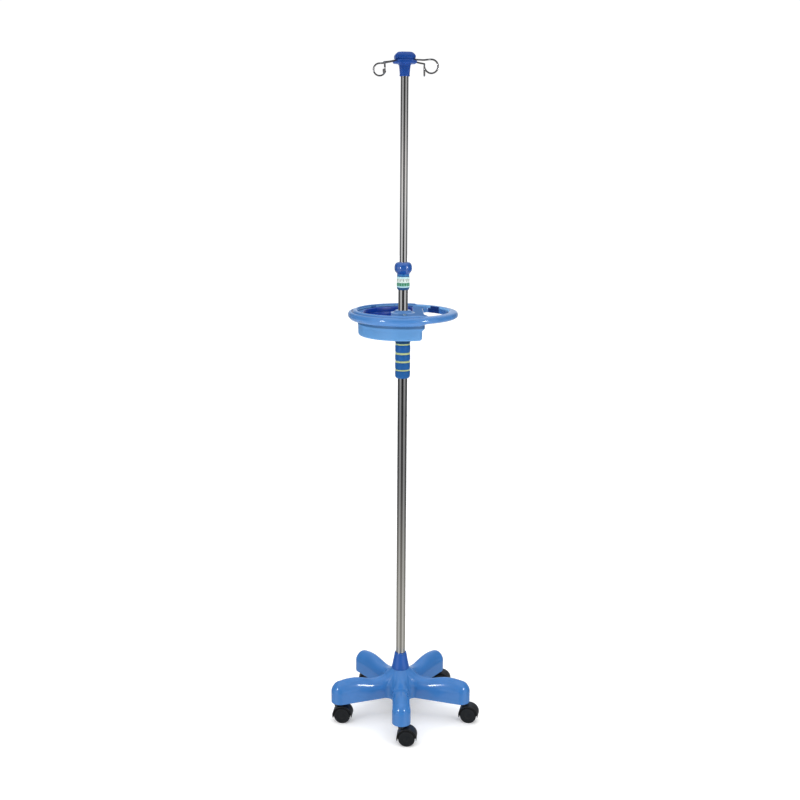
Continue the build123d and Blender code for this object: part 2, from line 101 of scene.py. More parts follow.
def put(name, verts, faces, mat, body, sharp=32.0, replaces=(), slot=None, weld=0.002, face_mats=None, mats=None):
    """A mesh object from points in millimetres, riding on a body."""
    me = bpy.data.meshes.new(name)
    me.from_pydata([(x * 0.001, y * 0.001, z * 0.001) for x, y, z in verts], [], faces)
    for m in mats or [mat]:
        me.materials.append(m)
    if face_mats:
        me.polygons.foreach_set("material_index", face_mats)
    bm = bmesh.new()
    bm.from_mesh(me)
    if weld:
        bmesh.ops.remove_doubles(bm, verts=bm.verts, dist=weld * 0.001)
    bmesh.ops.dissolve_degenerate(bm, dist=1e-7, edges=bm.edges)
    bmesh.ops.recalc_face_normals(bm, faces=bm.faces)
    bm.to_mesh(me)
    bm.free()
    me.shade_smooth()
    me.set_sharp_from_angle(angle=math.radians(sharp))
    me.update()
    ob = bpy.data.objects.new(name, me)
    bpy.context.scene.collection.objects.link(ob)
    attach(ob, body)
    if replaces:
        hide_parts(*replaces)
    return ob


class Mesh:
    """Collects points and faces of one or more closed shells."""

    def __init__(self):
        self.v, self.f, self.m = [], [], []

    def add(self, verts, faces, mat=0):
        b = len(self.v)
        self.v += [tuple(p) for p in verts]
        self.f += [tuple(i + b for i in f) for f in faces]
        self.m += [mat] * len(faces)

    def rings(self, loops, closed_u=True, cap=True, mat=0, closed_v=False):
        """Skins a list of loops that have the same number of points."""
        b, n = len(self.v), len(loops[0])
        for loop in loops:
            self.v += [tuple(p) for p in loop]
        last = len(loops) if closed_v else len(loops) - 1
        for i in range(last):
            a, c = b + i * n, b + ((i + 1) % len(loops)) * n
            for j in range(n if closed_u else n - 1):
                k = (j + 1) % n
                self.f.append((a + j, a + k, c + k, c + j))
                self.m.append(mat)
        if cap and not closed_v:
            self.f.append(tuple(range(b, b + n)))
            self.f.append(tuple(range(b + (len(loops) - 1) * n, b + len(loops) * n)))
            self.m += [mat, mat]

    def lathe(self, prof, seg=96, mat=0, wave=None, centre=(0, 0), turn=0.0):
        """Turns a closed profile of (r, z) about a vertical axis. Points at r = 0 become poles."""
        b = len(self.v)
        index = []
        for r, z in prof:
            if r < 1e-6:
                self.v.append((centre[0], centre[1], z))
                index.append([len(self.v) - 1] * seg)
            else:
                row = []
                for k in range(seg):
                    a = TAU * k / seg + turn
                    rr = r + (wave(r, z, a) if wave else 0.0)
                    self.v.append((centre[0] + rr * math.cos(a), centre[1] + rr * math.sin(a), z))
                    row.append(len(self.v) - 1)
                index.append(row)
        n = len(prof)
        for i in range(n):
            p, q = index[i], index[(i + 1) % n]
            if p[0] == p[1] and q[0] == q[1]:
                continue
            for k in range(seg):
                l = (k + 1) % seg
                face = [p[k], p[l], q[l], q[k]]
                out = []
                for x in face:
                    if x not in out:
                        out.append(x)
                if len(out) > 2:
                    self.f.append(tuple(out))
                    self.m.append(mat)
        return b

    def put(self, name, mat, body, **kw):
        mats = kw.get("mats")
        return put(name, self.v, self.f, mat, body, face_mats=self.m if mats else None, **kw)


def rounded(pts, seg=5):
    """A closed outline of (x, y) or (x, y, radius) with its corners rounded."""
    n, out = len(pts), []
    for i in range(n):
        p = pts[i]
        rad = p[2] if len(p) > 2 else 0.0
        a, b = pts[i - 1], pts[(i + 1) % n]
        if rad <= 0:
            out.append((p[0], p[1]))
            continue
        ux, uy, vx, vy = a[0] - p[0], a[1] - p[1], b[0] - p[0], b[1] - p[1]
        lu, lv = math.hypot(ux, uy), math.hypot(vx, vy)
        ux, uy, vx, vy = ux / lu, uy / lu, vx / lv, vy / lv
        dot = clamp(ux * vx + uy * vy, -1, 1)
        half = math.acos(dot) / 2
        if half > math.pi / 2 - 0.01:
            out.append((p[0], p[1]))
            continue
        cut = min(rad / math.tan(half), 0.48 * lu, 0.48 * lv)
        r = cut * math.tan(half)
        cx, cy = ux + vx, uy + vy
        lc = math.hypot(cx, cy)
        d = r / math.sin(half)
        cx, cy = p[0] + cx / lc * d, p[1] + cy / lc * d
        s = (p[0] + ux * cut - cx, p[1] + uy * cut - cy)
        e = (p[0] + vx * cut - cx, p[1] + vy * cut - cy)
        a0, a1 = math.atan2(s[1], s[0]), math.atan2(e[1], e[0])
        da = (a1 - a0 + math.pi) % TAU - math.pi
        for k in range(seg + 1):
            t = a0 + da * k / seg
            out.append((cx + r * math.cos(t), cy + r * math.sin(t)))
    return out


def disc_cap(mesh, loop_ids_outer, pts2, z, holes=(), up=True, mat=0, grid=None):
    """Fills a flat region between an outer loop and holes; the points are given with their mesh indices."""
    coords, ids, edges, faces = [], [], [], []
    for ring_ids, ring in [(loop_ids_outer, pts2)] + list(holes):
        b = len(coords)
        coords += [Vector(p) for p in ring]
        ids += list(ring_ids)
        edges += [(b + i, b + (i + 1) % len(ring)) for i in range(len(ring))]
    outer_n = len(pts2)
    face_loops = [list(range(outer_n))]
    out = delaunay_2d_cdt(coords, edges, [], 0, 1e-6)
    vs, _, fs, orig_v = out[0], out[1], out[2], out[3]
    back = [o[0] if o else None for o in orig_v]

    def inside(p, ring):
        c = False
        j = len(ring) - 1
        for i in range(len(ring)):
            (xi, yi), (xj, yj) = ring[i], ring[j]
            if (yi > p[1]) != (yj > p[1]) and p[0] < (xj - xi) * (p[1] - yi) / (yj - yi) + xi:
                c = not c
            j = i
        return c

    for f in fs:
        cx = sum(vs[i][0] for i in f) / len(f)
        cy = sum(vs[i][1] for i in f) / len(f)
        if not inside((cx, cy), pts2) or any(inside((cx, cy), h[1]) for h in holes):
            continue
        if any(back[i] is None for i in f):
            continue
        mesh.f.append(tuple(ids[back[i]] for i in f))
        mesh.m.append(mat)


def offset_loop(pts, d):
    """Moves a closed 2-D loop (anticlockwise) outward by d along its normals."""
    n, out = len(pts), []
    for i in range(n):
        a, b = pts[i - 1], pts[(i + 1) % n]
        tx, ty = b[0] - a[0], b[1] - a[1]
        l = math.hypot(tx, ty) or 1.0
        out.append((pts[i][0] + ty / l * d, pts[i][1] - tx / l * d))
    return out


def resample(pts, n, closed=True):
    """n points evenly spaced along a polyline."""
    seq = list(pts) + ([pts[0]] if closed else [])
    d = [0.0]
    for a, b in zip(seq, seq[1:]):
        d.append(d[-1] + math.dist(a, b))
    out, j = [], 0
    count = n if closed else n - 1
    for k in range(n):
        s = d[-1] * k / count
        while j < len(d) - 2 and d[j + 1] < s:
            j += 1
        t = 0 if d[j + 1] == d[j] else (s - d[j]) / (d[j + 1] - d[j])
        out.append(tuple(lerp(p, q, clamp(t)) for p, q in zip(seq[j], seq[j + 1])))
    return out


def turn2(p, az, c=(0.0, 0.0)):
    a = math.radians(az)
    return (c[0] + p[0] * math.cos(a) - p[1] * math.sin(a), c[1] + p[0] * math.sin(a) + p[1] * math.cos(a))


# =====================================================================
# materials
# =====================================================================
def new_mat(name):
    m = bpy.data.materials.new(name)
    m.use_nodes = True
    nt = m.node_tree
    return m, nt, nt.nodes["Principled BSDF"]


def add(nt, kind, **kw):
    n = nt.nodes.new(kind)
    for k, v in kw.items():
        if k == "inputs":
            for i, x in v.items():
                n.inputs[i].default_value = x
        else:
            setattr(n, k, v)
    return n


def ramp(nt, stops, interp="LINEAR"):
    r = nt.nodes.new("ShaderNodeValToRGB")
    r.color_ramp.interpolation = interp
    els = r.color_ramp.elements
    while len(els) < len(stops):
        els.new(0.5)
    for e, (p, c) in zip(els, stops):
        e.position = p
        e.color = c if len(c) == 4 else (*c, 1.0)
    return r


def plastic(name, base, rough=0.25, vary=0.06, bump=0.02, grain=900.0, coat=0.0, spec=0.5, edge=0.25, rough_vary=0.08):
    """Moulded plastic: a faint mottling of the pigment, a fine skin grain, lighter worn edges and soft handling marks."""
    m, nt, bs = new_mat(name)
    link = nt.links.new
    geo = add(nt, "ShaderNodeNewGeometry")
    pos = add(nt, "ShaderNodeTexCoord")
    cloud = add(nt, "ShaderNodeTexNoise", inputs={"Scale": 14.0, "Detail": 5.0, "Roughness": 0.55})
    link(pos.outputs["Object"], cloud.inputs["Vector"])
    lo = tuple(c * (1 - vary) for c in base)
    hi = tuple(min(1.0, c * (1 + vary)) for c in base)
    col = ramp(nt, [(0.3, lo), (0.7, hi)])
    link(cloud.outputs["Fac"], col.inputs["Fac"])
    # worn, lighter edges from the curvature of the mesh
    wear = ramp(nt, [(0.515, (0, 0, 0)), (0.60, (1, 1, 1))])
    link(geo.outputs["Pointiness"], wear.inputs["Fac"])
    scuff = add(nt, "ShaderNodeTexNoise", inputs={"Scale": 120.0, "Detail": 3.0})
    link(pos.outputs["Object"], scuff.inputs["Vector"])
    mul = add(nt, "ShaderNodeMath", operation="MULTIPLY")
    link(wear.outputs["Color"], mul.inputs[0])
    link(scuff.outputs["Fac"], mul.inputs[1])
    amt = add(nt, "ShaderNodeMath", operation="MULTIPLY")
    amt.inputs[1].default_value = edge
    link(mul.outputs[0], amt.inputs[0])
    mix = add(nt, "ShaderNodeMix", data_type="RGBA")
    link(amt.outputs[0], mix.inputs["Factor"])
    link(col.outputs["Color"], mix.inputs["A"])
    mix.inputs["B"].default_value = (*[min(1.0, c * 1.6 + 0.06) for c in base], 1.0)
    link(mix.outputs["Result"], bs.inputs["Base Color"])
    # roughness: a broad variation with fine rubbed streaks
    streak = add(nt, "ShaderNodeMapping")
    streak.inputs["Scale"].default_value = (40.0, 40.0, 6.0)
    link(pos.outputs["Object"], streak.inputs["Vector"])
    rub = add(nt, "ShaderNodeTexNoise", inputs={"Scale": 1.0, "Detail": 4.0, "Roughness": 0.6})
    link(streak.outputs["Vector"], rub.inputs["Vector"])
    rr = add(nt, "ShaderNodeMapRange")
    rr.inputs["From Min"].default_value, rr.inputs["From Max"].default_value = 0.3, 0.7
    rr.inputs["To Min"].default_value, rr.inputs["To Max"].default_value = max(0.02, rough - rough_vary), rough + rough_vary
    link(rub.outputs["Fac"], rr.inputs["Value"])
    link(rr.outputs["Result"], bs.inputs["Roughness"])
    fine = add(nt, "ShaderNodeTexNoise", inputs={"Scale": grain, "Detail": 2.0})
    link(pos.outputs["Object"], fine.inputs["Vector"])
    wavy = add(nt, "ShaderNodeTexNoise", inputs={"Scale": 22.0, "Detail": 1.0})
    link(pos.outputs["Object"], wavy.inputs["Vector"])
    b1 = add(nt, "ShaderNodeBump", inputs={"Strength": bump * 6, "Distance": 0.00025})
    link(wavy.outputs["Fac"], b1.inputs["Height"])
    b2 = add(nt, "ShaderNodeBump", inputs={"Strength": bump * 5, "Distance": 0.00006})
    link(fine.outputs["Fac"], b2.inputs["Height"])
    link(b1.outputs["Normal"], b2.inputs["Normal"])
    link(b2.outputs["Normal"], bs.inputs["Normal"])
    bs.inputs["Specular IOR Level"].default_value = spec
    bs.inputs["Coat Weight"].default_value = coat
    bs.inputs["Coat Roughness"].default_value = 0.06
    return m


def steel(name, base=(0.62, 0.62, 0.63), rough=0.09, brush=0.0, spot=0.03, long=(900.0, 900.0, 4.0)):
    """Polished or brushed stainless steel: fine drawing lines along the length, faint smudges."""
    m, nt, bs = new_mat(name)
    link = nt.links.new
    pos = add(nt, "ShaderNodeTexCoord")
    mp = add(nt, "ShaderNodeMapping")
    mp.inputs["Scale"].default_value = long
    link(pos.outputs["Object"], mp.inputs["Vector"])
    lines = add(nt, "ShaderNodeTexNoise", inputs={"Scale": 1.0, "Detail": 4.0, "Roughness": 0.7})
    link(mp.outputs["Vector"], lines.inputs["Vector"])
    smear = add(nt, "ShaderNodeTexNoise", inputs={"Scale": 18.0, "Detail": 4.0, "Roughness": 0.6})
    link(pos.outputs["Object"], smear.inputs["Vector"])
    col = ramp(nt, [(0.25, tuple(c * 0.93 for c in base)), (0.75, tuple(min(1, c * 1.05) for c in base))])
    link(lines.outputs["Fac"], col.inputs["Fac"])
    link(col.outputs["Color"], bs.inputs["Base Color"])
    a = add(nt, "ShaderNodeMapRange")
    a.inputs["To Min"].default_value, a.inputs["To Max"].default_value = max(0.02, rough - spot), rough + spot
    a.inputs["From Min"].default_value, a.inputs["From Max"].default_value = 0.3, 0.7
    link(smear.outputs["Fac"], a.inputs["Value"])
    s = add(nt, "ShaderNodeMath", operation="MULTIPLY_ADD")
    s.inputs[1].default_value = 0.05
    link(lines.outputs["Fac"], s.inputs[0])
    link(a.outputs["Result"], s.inputs[2])
    link(s.outputs[0], bs.inputs["Roughness"])
    b = add(nt, "ShaderNodeBump", inputs={"Strength": 0.03 + brush, "Distance": 0.00003})
    link(lines.outputs["Fac"], b.inputs["Height"])
    link(b.outputs["Normal"], bs.inputs["Normal"])
    bs.inputs["Metallic"].default_value = 1.0
    return m


LIGHT = (0.044, 0.188, 0.505)
DARK = (0.0105, 0.068, 0.335)

M_base = plastic("base_light_blue", LIGHT, rough=0.16, vary=0.05, bump=0.012, coat=0.35, edge=0.04, rough_vary=0.05)
M_under = plastic("base_under_side", (0.05, 0.17, 0.47), rough=0.45, vary=0.08, bump=0.05, edge=0.1)
M_tray = plastic("tray_light_blue", (0.068, 0.238, 0.59), rough=0.13, vary=0.035, bump=0.005, coat=0.8, edge=0.08, rough_vary=0.03)
# ring wall: painted shade, a darker blue for the lower inside of the ring
M_ring_wall_painted_shade = plastic("ring_wall_painted_shade_blue", (0.062, 0.215, 0.56), rough=0.24, vary=0.05, bump=0.012, coat=0.1, edge=0.06)
# ring dark: a painted shadow on the inside behind the hand opening, and painted shade in the groove at the left end
M_ring_painted_shadow = plastic("ring_painted_shadow_blue", (0.010, 0.046, 0.235), rough=0.35, vary=0.08, bump=0.02, spec=0.25, edge=0.06)
M_deck = plastic("deck_light_blue", (0.046, 0.168, 0.435), rough=0.5, vary=0.03, bump=0.006, spec=0.12, edge=0.04, rough_vary=0.04)
# ring inside: painted light, a lighter blue for the upper inside of the ring
M_ring_inside_painted_light = plastic("ring_inside_painted_light_blue", (0.24, 0.55, 0.94), rough=0.55, vary=0.04, bump=0.008, spec=0.12, edge=0.05, rough_vary=0.04)
# tub flange: painted shade, a darker blue on the tub's wall just under the ring
M_flange_painted_shade = plastic("tub_flange_painted_shade_blue", (0.036, 0.156, 0.365), rough=0.5, vary=0.04, bump=0.02, edge=0.08)
# grip top: painted shade, a darker blue for the grip just under the tub
M_grip_top_painted_shade = plastic("grip_top_painted_shade_blue", (0.006, 0.050, 0.130), rough=0.45, spec=0.15, vary=0.08, bump=0.05, grain=1500.0, edge=0.1)
# under collar: painted shade, the dark blue made darker under the tub
M_under_collar_painted_shade = plastic("under_collar_painted_shade_blue", (0.007, 0.048, 0.150), rough=0.35, spec=0.2, vary=0.06, bump=0.01, edge=0.1)
# inside: painted shade, a deep blue for the pocket's walls and the tub's hollow
M_inside_painted_shade = plastic("tray_inside_painted_shade_blue", (0.0115, 0.090, 0.53), rough=0.3, vary=0.08, bump=0.02, edge=0.1)
M_tub = plastic("tub_light_blue", (0.108, 0.330, 0.69), rough=0.5, vary=0.04, bump=0.02, edge=0.12)
M_dark = plastic("dark_blue_moulding", DARK, rough=0.27, spec=0.32, vary=0.06, bump=0.01, edge=0.16)
M_knob = plastic("knob_blue", (0.018, 0.105, 0.42), rough=0.07, vary=0.06, bump=0.004, coat=1.0, spec=0.75, edge=0.12, rough_vary=0.03)
M_cone = plastic("ferrule_blue", (0.0205, 0.103, 0.41), rough=0.22, vary=0.05, bump=0.015, coat=0.1, edge=0.2)
M_grip = plastic("grip_blue", (0.009, 0.108, 0.345), rough=0.42, spec=0.2, vary=0.08, bump=0.05, grain=1500.0, edge=0.16)
M_lime = plastic("lime_rubber", (0.50, 0.58, 0.26), rough=0.38, vary=0.07, bump=0.04, edge=0.12)
M_neck = plastic("knob_neck_blue", (0.038, 0.215, 0.52), rough=0.2, vary=0.05, bump=0.015, edge=0.1)
M_collar = plastic("collar_blue", (0.038, 0.135, 0.30), rough=0.36, spec=0.25, vary=0.05, bump=0.015, edge=0.2)
M_caster = plastic("caster_black", (0.007, 0.008, 0.010), rough=0.38, vary=0.15, bump=0.05, grain=1300.0, edge=0.12)
M_tread = plastic("tread_black", (0.0040, 0.0050, 0.0072), rough=0.6, spec=0.36, vary=0.2, bump=0.09, grain=1800.0, edge=0.08)
M_disc = plastic("wheel_disc_grey", (0.0048, 0.0074, 0.0112), rough=0.42, spec=0.38, vary=0.15, bump=0.05, grain=1400.0, edge=0.14)
M_nylon = plastic("black_nylon", (0.02, 0.02, 0.022), rough=0.5, vary=0.15, bump=0.05, edge=0.1)
M_white = plastic("white_nylon", (0.68, 0.68, 0.64), rough=0.4, vary=0.04, bump=0.03, edge=0.05)
M_tube = steel("polished_tube", (0.64, 0.64, 0.645), rough=0.085, brush=-0.028, spot=0.02)
M_wire = steel("hook_wire_steel", (0.27, 0.27, 0.28), rough=0.14, brush=0.02, spot=0.05, long=(400.0, 400.0, 400.0))
M_blue_zinc = steel("blue_zinc_screw", (0.30, 0.46, 0.66), rough=0.34, brush=0.05, spot=0.08, long=(250.0, 250.0, 250.0))
M_zinc = steel("zinc_plated_steel", (0.52, 0.52, 0.50), rough=0.28, brush=0.05, spot=0.08, long=(250.0, 250.0, 250.0))


# =====================================================================
# star base
# =====================================================================
LEGS = [-90, -18, 54, 126, 198]
NAMES = ["front", "right", "back_right", "back_left", "left"]
R_TIP, TIP_HALF, ROOT_HALF, CROTCH, Z_RIM, Z_SPRING = 194.5, 27.9, 24.3, 19.0, 62.5, 93.0
ridge = pchip([(14, 139.6), (24, 140.2), (30, 139.6), (36, 137.0), (44, 132.8), (50, 129.2), (56, 126.2), (63, 123.6), (72, 121.6), (82, 120.6),
               (92, 120.8), (103, 122.8), (113, 125.8), (125, 129.2), (137, 131.6), (150, 133.1), (160, 133.3), (170, 132.7),
               (180, 131.4), (190, 129.4), (194.5, 128.2)])
bell = pchip([(10, 147.0), (26.6, 146.95), (27.7, 146.3), (30, 143.3), (33.5, 139.4), (38, 134.4), (44, 128.2), (50, 120.5), (58, 106.0), (68, 80.0), (80, 44.0)])


def half_width(x):
    return ROOT_HALF + (TIP_HALF - ROOT_HALF) * clamp(x / R_TIP)


def smax(a, b, k):
    h = max(k - abs(a - b), 0.0) / k
    return max(a, b) + h * h * k * 0.25


def crown(x, y, inset, drop):
    """Height of the cover's skin at a point, in the frame of the leg along +X."""
    w = half_width(x) - inset
    r = math.hypot(x, y)
    if x > R_TIP:
        rho, top = math.hypot(x - R_TIP, y) / w, ridge(R_TIP)
    else:
        rho, top = abs(y) / w, ridge(x)
    top -= drop
    # a broad flat-topped root turns into a round crown towards the tip
    g = smooth(70.0, 135.0, x)
    spring = lerp(Z_SPRING, Z_SPRING + 5.0, g) - drop * 0.4
    if rho < 1:
        leg = spring + (top - spring) * (1 - rho ** lerp(3.0, 2.1, g)) ** lerp(0.62, 0.66, g)
    else:
        leg = spring - 140.0 * (rho - 1)
    # the blend with the hub is tight along the ridge and generous down the sides
    z = smax(leg, bell(r + inset * 0.7) - drop, lerp(10.0, 30.0, smooth(0.5, 0.95, rho))) if r < 96 else leg
    lid = Z_RIM + 84.9 - drop
    if z > lid - 4:
        z = min(lid, lid - math.log1p(math.exp(-(z - lid) / 0.5)) * 0.5)
    return z


def star_half(inset, r_in):
    """Rows of plan points, centre line to edge, for the half of a leg from azimuth 0 to 36 degrees."""
    b = (TIP_HALF - ROOT_HALF) / R_TIP
    root = math.sqrt(1 + b * b)
    rad = CROTCH + inset
    c36, s36 = math.cos(math.radians(36)), math.sin(math.radians(36))
    d = (ROOT_HALF + CROTCH * root) / (s36 - b * c36)
    c = (d * c36, d * s36)
    near = d - rad
    t = (c[0] + rad * b / root, c[1] - rad / root)
    edge, line = [], []
    n_ray, n_arc, n_run = 22, 22, 50
    for k in range(n_ray):
        u = k / n_ray
        r = lerp(r_in, near, u)
        edge.append((r * c36, r * s36))
        line.append(lerp(r_in, 47.0, u))
    a0 = math.atan2(-s36, -c36)  # from the circle's centre towards the pole's axis
    a1 = math.atan2(t[1] - c[1], t[0] - c[0])
    if a1 < a0:
        a1 += TAU
    for k in range(n_arc):
        u = k / n_arc
        a = lerp(a0, a1, u)
        edge.append((c[0] + rad * math.cos(a), c[1] + rad * math.sin(a)))
        line.append(lerp(47.0, t[0], u))
    for k in range(n_run + 1):
        x = lerp(t[0], R_TIP, k / n_run)
        edge.append((x, half_width(x) - inset))
        line.append(x)
    vs = [math.sin(math.pi / 2 * k / 26) ** 0.92 for k in range(27)]
    rows = []
    for (ex, ey), lx in zip(edge, line):
        re, ae = math.hypot(ex, ey), math.atan2(ey, ex)
        flat = smooth(48, 100, lx)
        row = []
        for v in vs:
            rr, aa = lerp(lx, re, v), ae * v
            p1 = (rr * math.cos(aa), rr * math.sin(aa))
            p2 = (lerp(lx, ex, v), ey * v)
            row.append((lerp(p1[0], p2[0], flat), lerp(p1[1], p2[1], flat)))
        rows.append(row)
    w = TIP_HALF - inset
    for k in range(1, 21):
        th = math.pi / 2 * (1 - k / 20)
        rows.append([(R_TIP + w * v * math.cos(th), w * v * math.sin(th)) for v in vs])
    return rows, n_ray


def cover_skin(mesh, inset, drop, r_in, rim, up):
    """Adds one skin of the cover. Returns the ids of its rim loop and of its loop round the pole."""
    rows, n_ray = star_half(inset, r_in)
    nv = len(rows[0])
    edge_ids, pole_ids = [], []
    for az in LEGS:
        grid = {}
        for side in (1, -1):
            for i, row in enumerate(rows):
                for j, (x, y) in enumerate(row):
                    if side == -1 and j == 0:
                        grid[(i, 0, -1)] = grid[(i, 0, 1)]
                        continue
                    z = crown(x, y, inset, drop)
                    px, py = turn2((x, y * side), az)
                    grid[(i, j, side)] = len(mesh.v)
                    mesh.v.append((px, py, z))
            for i in range(len(rows) - 1):
                for j in range(nv - 1):
                    f = [grid[(i, j, side)], grid[(i + 1, j, side)], grid[(i + 1, j + 1, side)], grid[(i, j + 1, side)]]
                    mesh.f.append(tuple(f))
                    mesh.m.append(0 if up else 1)
        edge_ids += [grid[(i, nv - 1, -1)] for i in range(n_ray, len(rows))]
        edge_ids += [grid[(i, nv - 1, 1)] for i in range(len(rows) - 2, n_ray, -1)]
        pole_ids += [grid[(0, j, -1)] for j in range(nv - 1, 0, -1)] + [grid[(0, j, 1)] for j in range(nv - 1)]
    # the wall under the edge
    levels = [0.0, 0.25, 0.5, 0.75, 0.93, 1.0]
    cols = []
    for q, e in enumerate(edge_ids):
        x, y, z = mesh.v[e]
        col = [e]
        for lv in levels[1:]:
            zz = lerp(z, rim, lv)
            col.append(len(mesh.v))
            mesh.v.append((x, y, zz))
        cols.append(col)
    n = len(cols)
    for i in range(n):
        a, b = cols[i], cols[(i + 1) % n]
        for k in range(len(levels) - 1):
            mesh.f.append((a[k], b[k], b[k + 1], a[k + 1]))
            mesh.m.append(0 if up else 1)
    return [c[-1] for c in cols], pole_ids


def build_base():
    m = Mesh()
    out_rim, out_pole = cover_skin(m, 0.0, 0.0, 14.3, Z_RIM + 0.9, True)
    in_rim, in_pole = cover_skin(m, 3.0, 3.4, 14.3, Z_RIM + 0.9, False)
    n = len(out_rim)
    # rounded rim between the two skins
    arcs = [out_rim]
    for k in range(1, 6):
        t = math.pi * k / 6
        ring = []
        for a, b in zip(out_rim, in_rim):
            p, q = m.v[a], m.v[b]
            u = (1 - math.cos(t)) / 2
            ring.append(len(m.v))
            m.v.append((lerp(p[0], q[0], u), lerp(p[1], q[1], u), Z_RIM + 0.9 - 0.9 * math.sin(t)))
        arcs.append(ring)
    arcs.append(in_rim)
    for r0, r1 in zip(arcs, arcs[1:]):
        for i in range(n):
            j = (i + 1) % n
            m.f.append((r0[i], r0[j], r1[j], r1[i]))
            m.m.append(0)
    k = len(out_pole)
    for i in range(k):
        j = (i + 1) % k
        m.f.append((out_pole[i], out_pole[j], in_pole[j], in_pole[i]))
        m.m.append(1)
    m.put("base_cover", M_base, "stand", sharp=38, replaces=("base_shell",), slot="light_blue", weld=0.01, mats=[M_base, M_under])

    # ribs, hub boss and socket bosses under the cover
    r = Mesh()
    crest = [(22, 137.0)] + [(x, ridge(x) - 2.0) for x in (30, 36, 44, 53, 63, 72, 82, 92, 103, 113, 125, 137, 150, 160, 170, 180, 190)] + [(195.0, 125.6)]
    outline = crest + [(195.0, 86.0), (22, 86.0)]
    for az in LEGS:
        loops = []
        for y, e in ((-1.5, 0.4), (-1.1, 0.0), (1.1, 0.0), (1.5, 0.4)):
            loops.append([(*turn2((x, y), az), z + (e if z <= 86.0 else 0.0)) for x, z in outline])
        r.rings(loops)
    r.put("base_ribs", M_under, "stand", sharp=30, slot="light_blue")
    h = Mesh()
    h.lathe(rounded([(14.4, 86.0, 0.6), (24.0, 86.0, 1.0), (24.4, 140.6), (14.4, 143.2)]), 96)
    for az in LEGS:
        c = turn2((204.0, 0.0), az)
        h.lathe(rounded([(8.05, 66.0, 0.5), (12.0, 66.0, 0.8), (12.2, 103.0), (8.6, 113.0), (8.05, 113.0)]), 48, centre=c)
        h.lathe([(0, 112.2), (8.3, 112.2), (8.3, 115.4), (0, 116.0)], 40, centre=c)
    h.put("base_bosses", M_under, "stand", sharp=30, slot="light_blue")


build_base()


# ferrule between the base and the tube
m = Mesh()
m.lathe(rounded([(14.06, 147.0), (26.6, 147.0, 0.3), (27.1, 147.4, 0.4), (27.0, 148.6, 0.8), (25.5, 156.0, 8.0), (24.1, 163.4), (22.8, 170.1), (21.5, 176.8), (20.3, 183.5), (18.5, 194.2, 5.0), (18.2, 196.6, 0.5), (17.4, 198.2, 0.6), (14.5, 198.2, 0.5), (14.06, 197.4)], 6), 128)
m.put("ferrule", M_cone, "stand", replaces=("pole_ferrule",), slot="dark_blue")

# =====================================================================
# hub hardware
# =====================================================================
m = Mesh()
m.lathe(rounded([(6.6, 79.0, 0.4), (44.0, 79.0, 1.0), (44.0, 86.0, 1.0), (6.6, 86.0, 0.4)]), 96)
m.put("hub_disc", M_zinc, "stand", replaces=("hub_plate",), slot="plated_steel")
m = Mesh()
m.lathe(rounded([(6.1, 76.5, 0.3), (10.5, 76.5, 0.6), (10.5, 79.0, 0.3), (6.1, 79.0, 0.3)]), 64)
m.put("washer", M_zinc, "stand", replaces=("lock_washer",), slot="plated_steel")
m = Mesh()
loops = []
for s, z in ((0.0, 70.6), (0.55, 69.6), (0.86, 69.1), (0.97, 69.5), (1.0, 70.3), (1.0, 76.1), (0.97, 76.5)):
    if s == 0:
        s = 0.02
    pts = []
    for k in range(48):
        a = TAU * k / 48
        sector = (a + math.pi / 6) % (math.pi / 3) - math.pi / 6
        hexr = 10.4 * math.cos(math.pi / 6) / math.cos(sector)
        rr = min(hexr, 10.4 * 0.97)
        if s < 0.8:
            rr = 9.0
        pts.append((rr * s * math.cos(a), rr * s * math.sin(a), z))
    loops.append(pts)
m.rings(loops)
m.lathe([(0, 76.0), (6.0, 76.0)] + [(6.0 - (0.35 if k % 2 else 0.0), 78.0 + k) for k in range(0, 38)] + [(5.2, 117.4), (0, 118.0)], 48)
m.put("hub_bolt", M_zinc, "stand", replaces=("pole_bolt",), slot="plated_steel")
m = Mesh()
m.lathe(rounded([(6.05, 92.0, 0.5), (12.45, 92.0, 0.8), (12.45, 124.0, 1.2), (0, 124.0), (0, 119.0), (6.05, 119.0)]), 72)
m.put("foot_plug", M_zinc, "stand", replaces=("tube_plug",), slot="plated_steel")

# =====================================================================
# tubes
# =====================================================================
m = Mesh()
zs = [92.0 + (1352.0 - 92.0) * k / 60 for k in range(61)]
m.lathe([(12.5, z) for z in zs] + [(12.9, 1352.0), (13.6, 1352.0)] + [(14.0, z) for z in reversed([92.4] + zs[1:-1] + [1351.6])] + [(13.6, 92.0)], 128)
m.put("lower_pole", M_tube, "stand", replaces=("lower_tube",), slot="polished_steel")
m = Mesh()
zs = [958.0 + (1950.0 - 958.0) * k / 50 for k in range(51)]
m.lathe([(9.8, z) for z in zs] + [(10.6, 1950.0)] + [(11.0, z) for z in reversed([958.4] + zs[1:-1] + [1949.6])] + [(10.6, 958.0)], 112)
m.put("mast_pole", M_tube, "mast", replaces=("upper_tube",), slot="polished_steel")
m = Mesh()
m.lathe(rounded([(8.5, 954.0, 0.5), (12.0, 954.0, 0.8), (12.42, 956.0, 0.6), (12.42, 966.0, 0.4), (11.9, 967.0, 0.4), (11.9, 983.0, 0.4), (12.42, 984.0, 0.4), (12.42, 992.5, 0.6), (12.0, 994.0, 0.6), (11.02, 994.0), (11.02, 958.0), (8.5, 958.0)]), 72)
m.put("mast_bush", M_white, "mast", replaces=("guide_bush",), slot="nylon_white")
m = Mesh()
m.lathe(rounded([(0, 1926.0), (9.78, 1926.0, 0.8), (9.78, 1950.0), (0, 1950.0)]), 48)
m.put("mast_top_plug", M_zinc, "mast", replaces=("mast_plug",), slot="plated_steel")

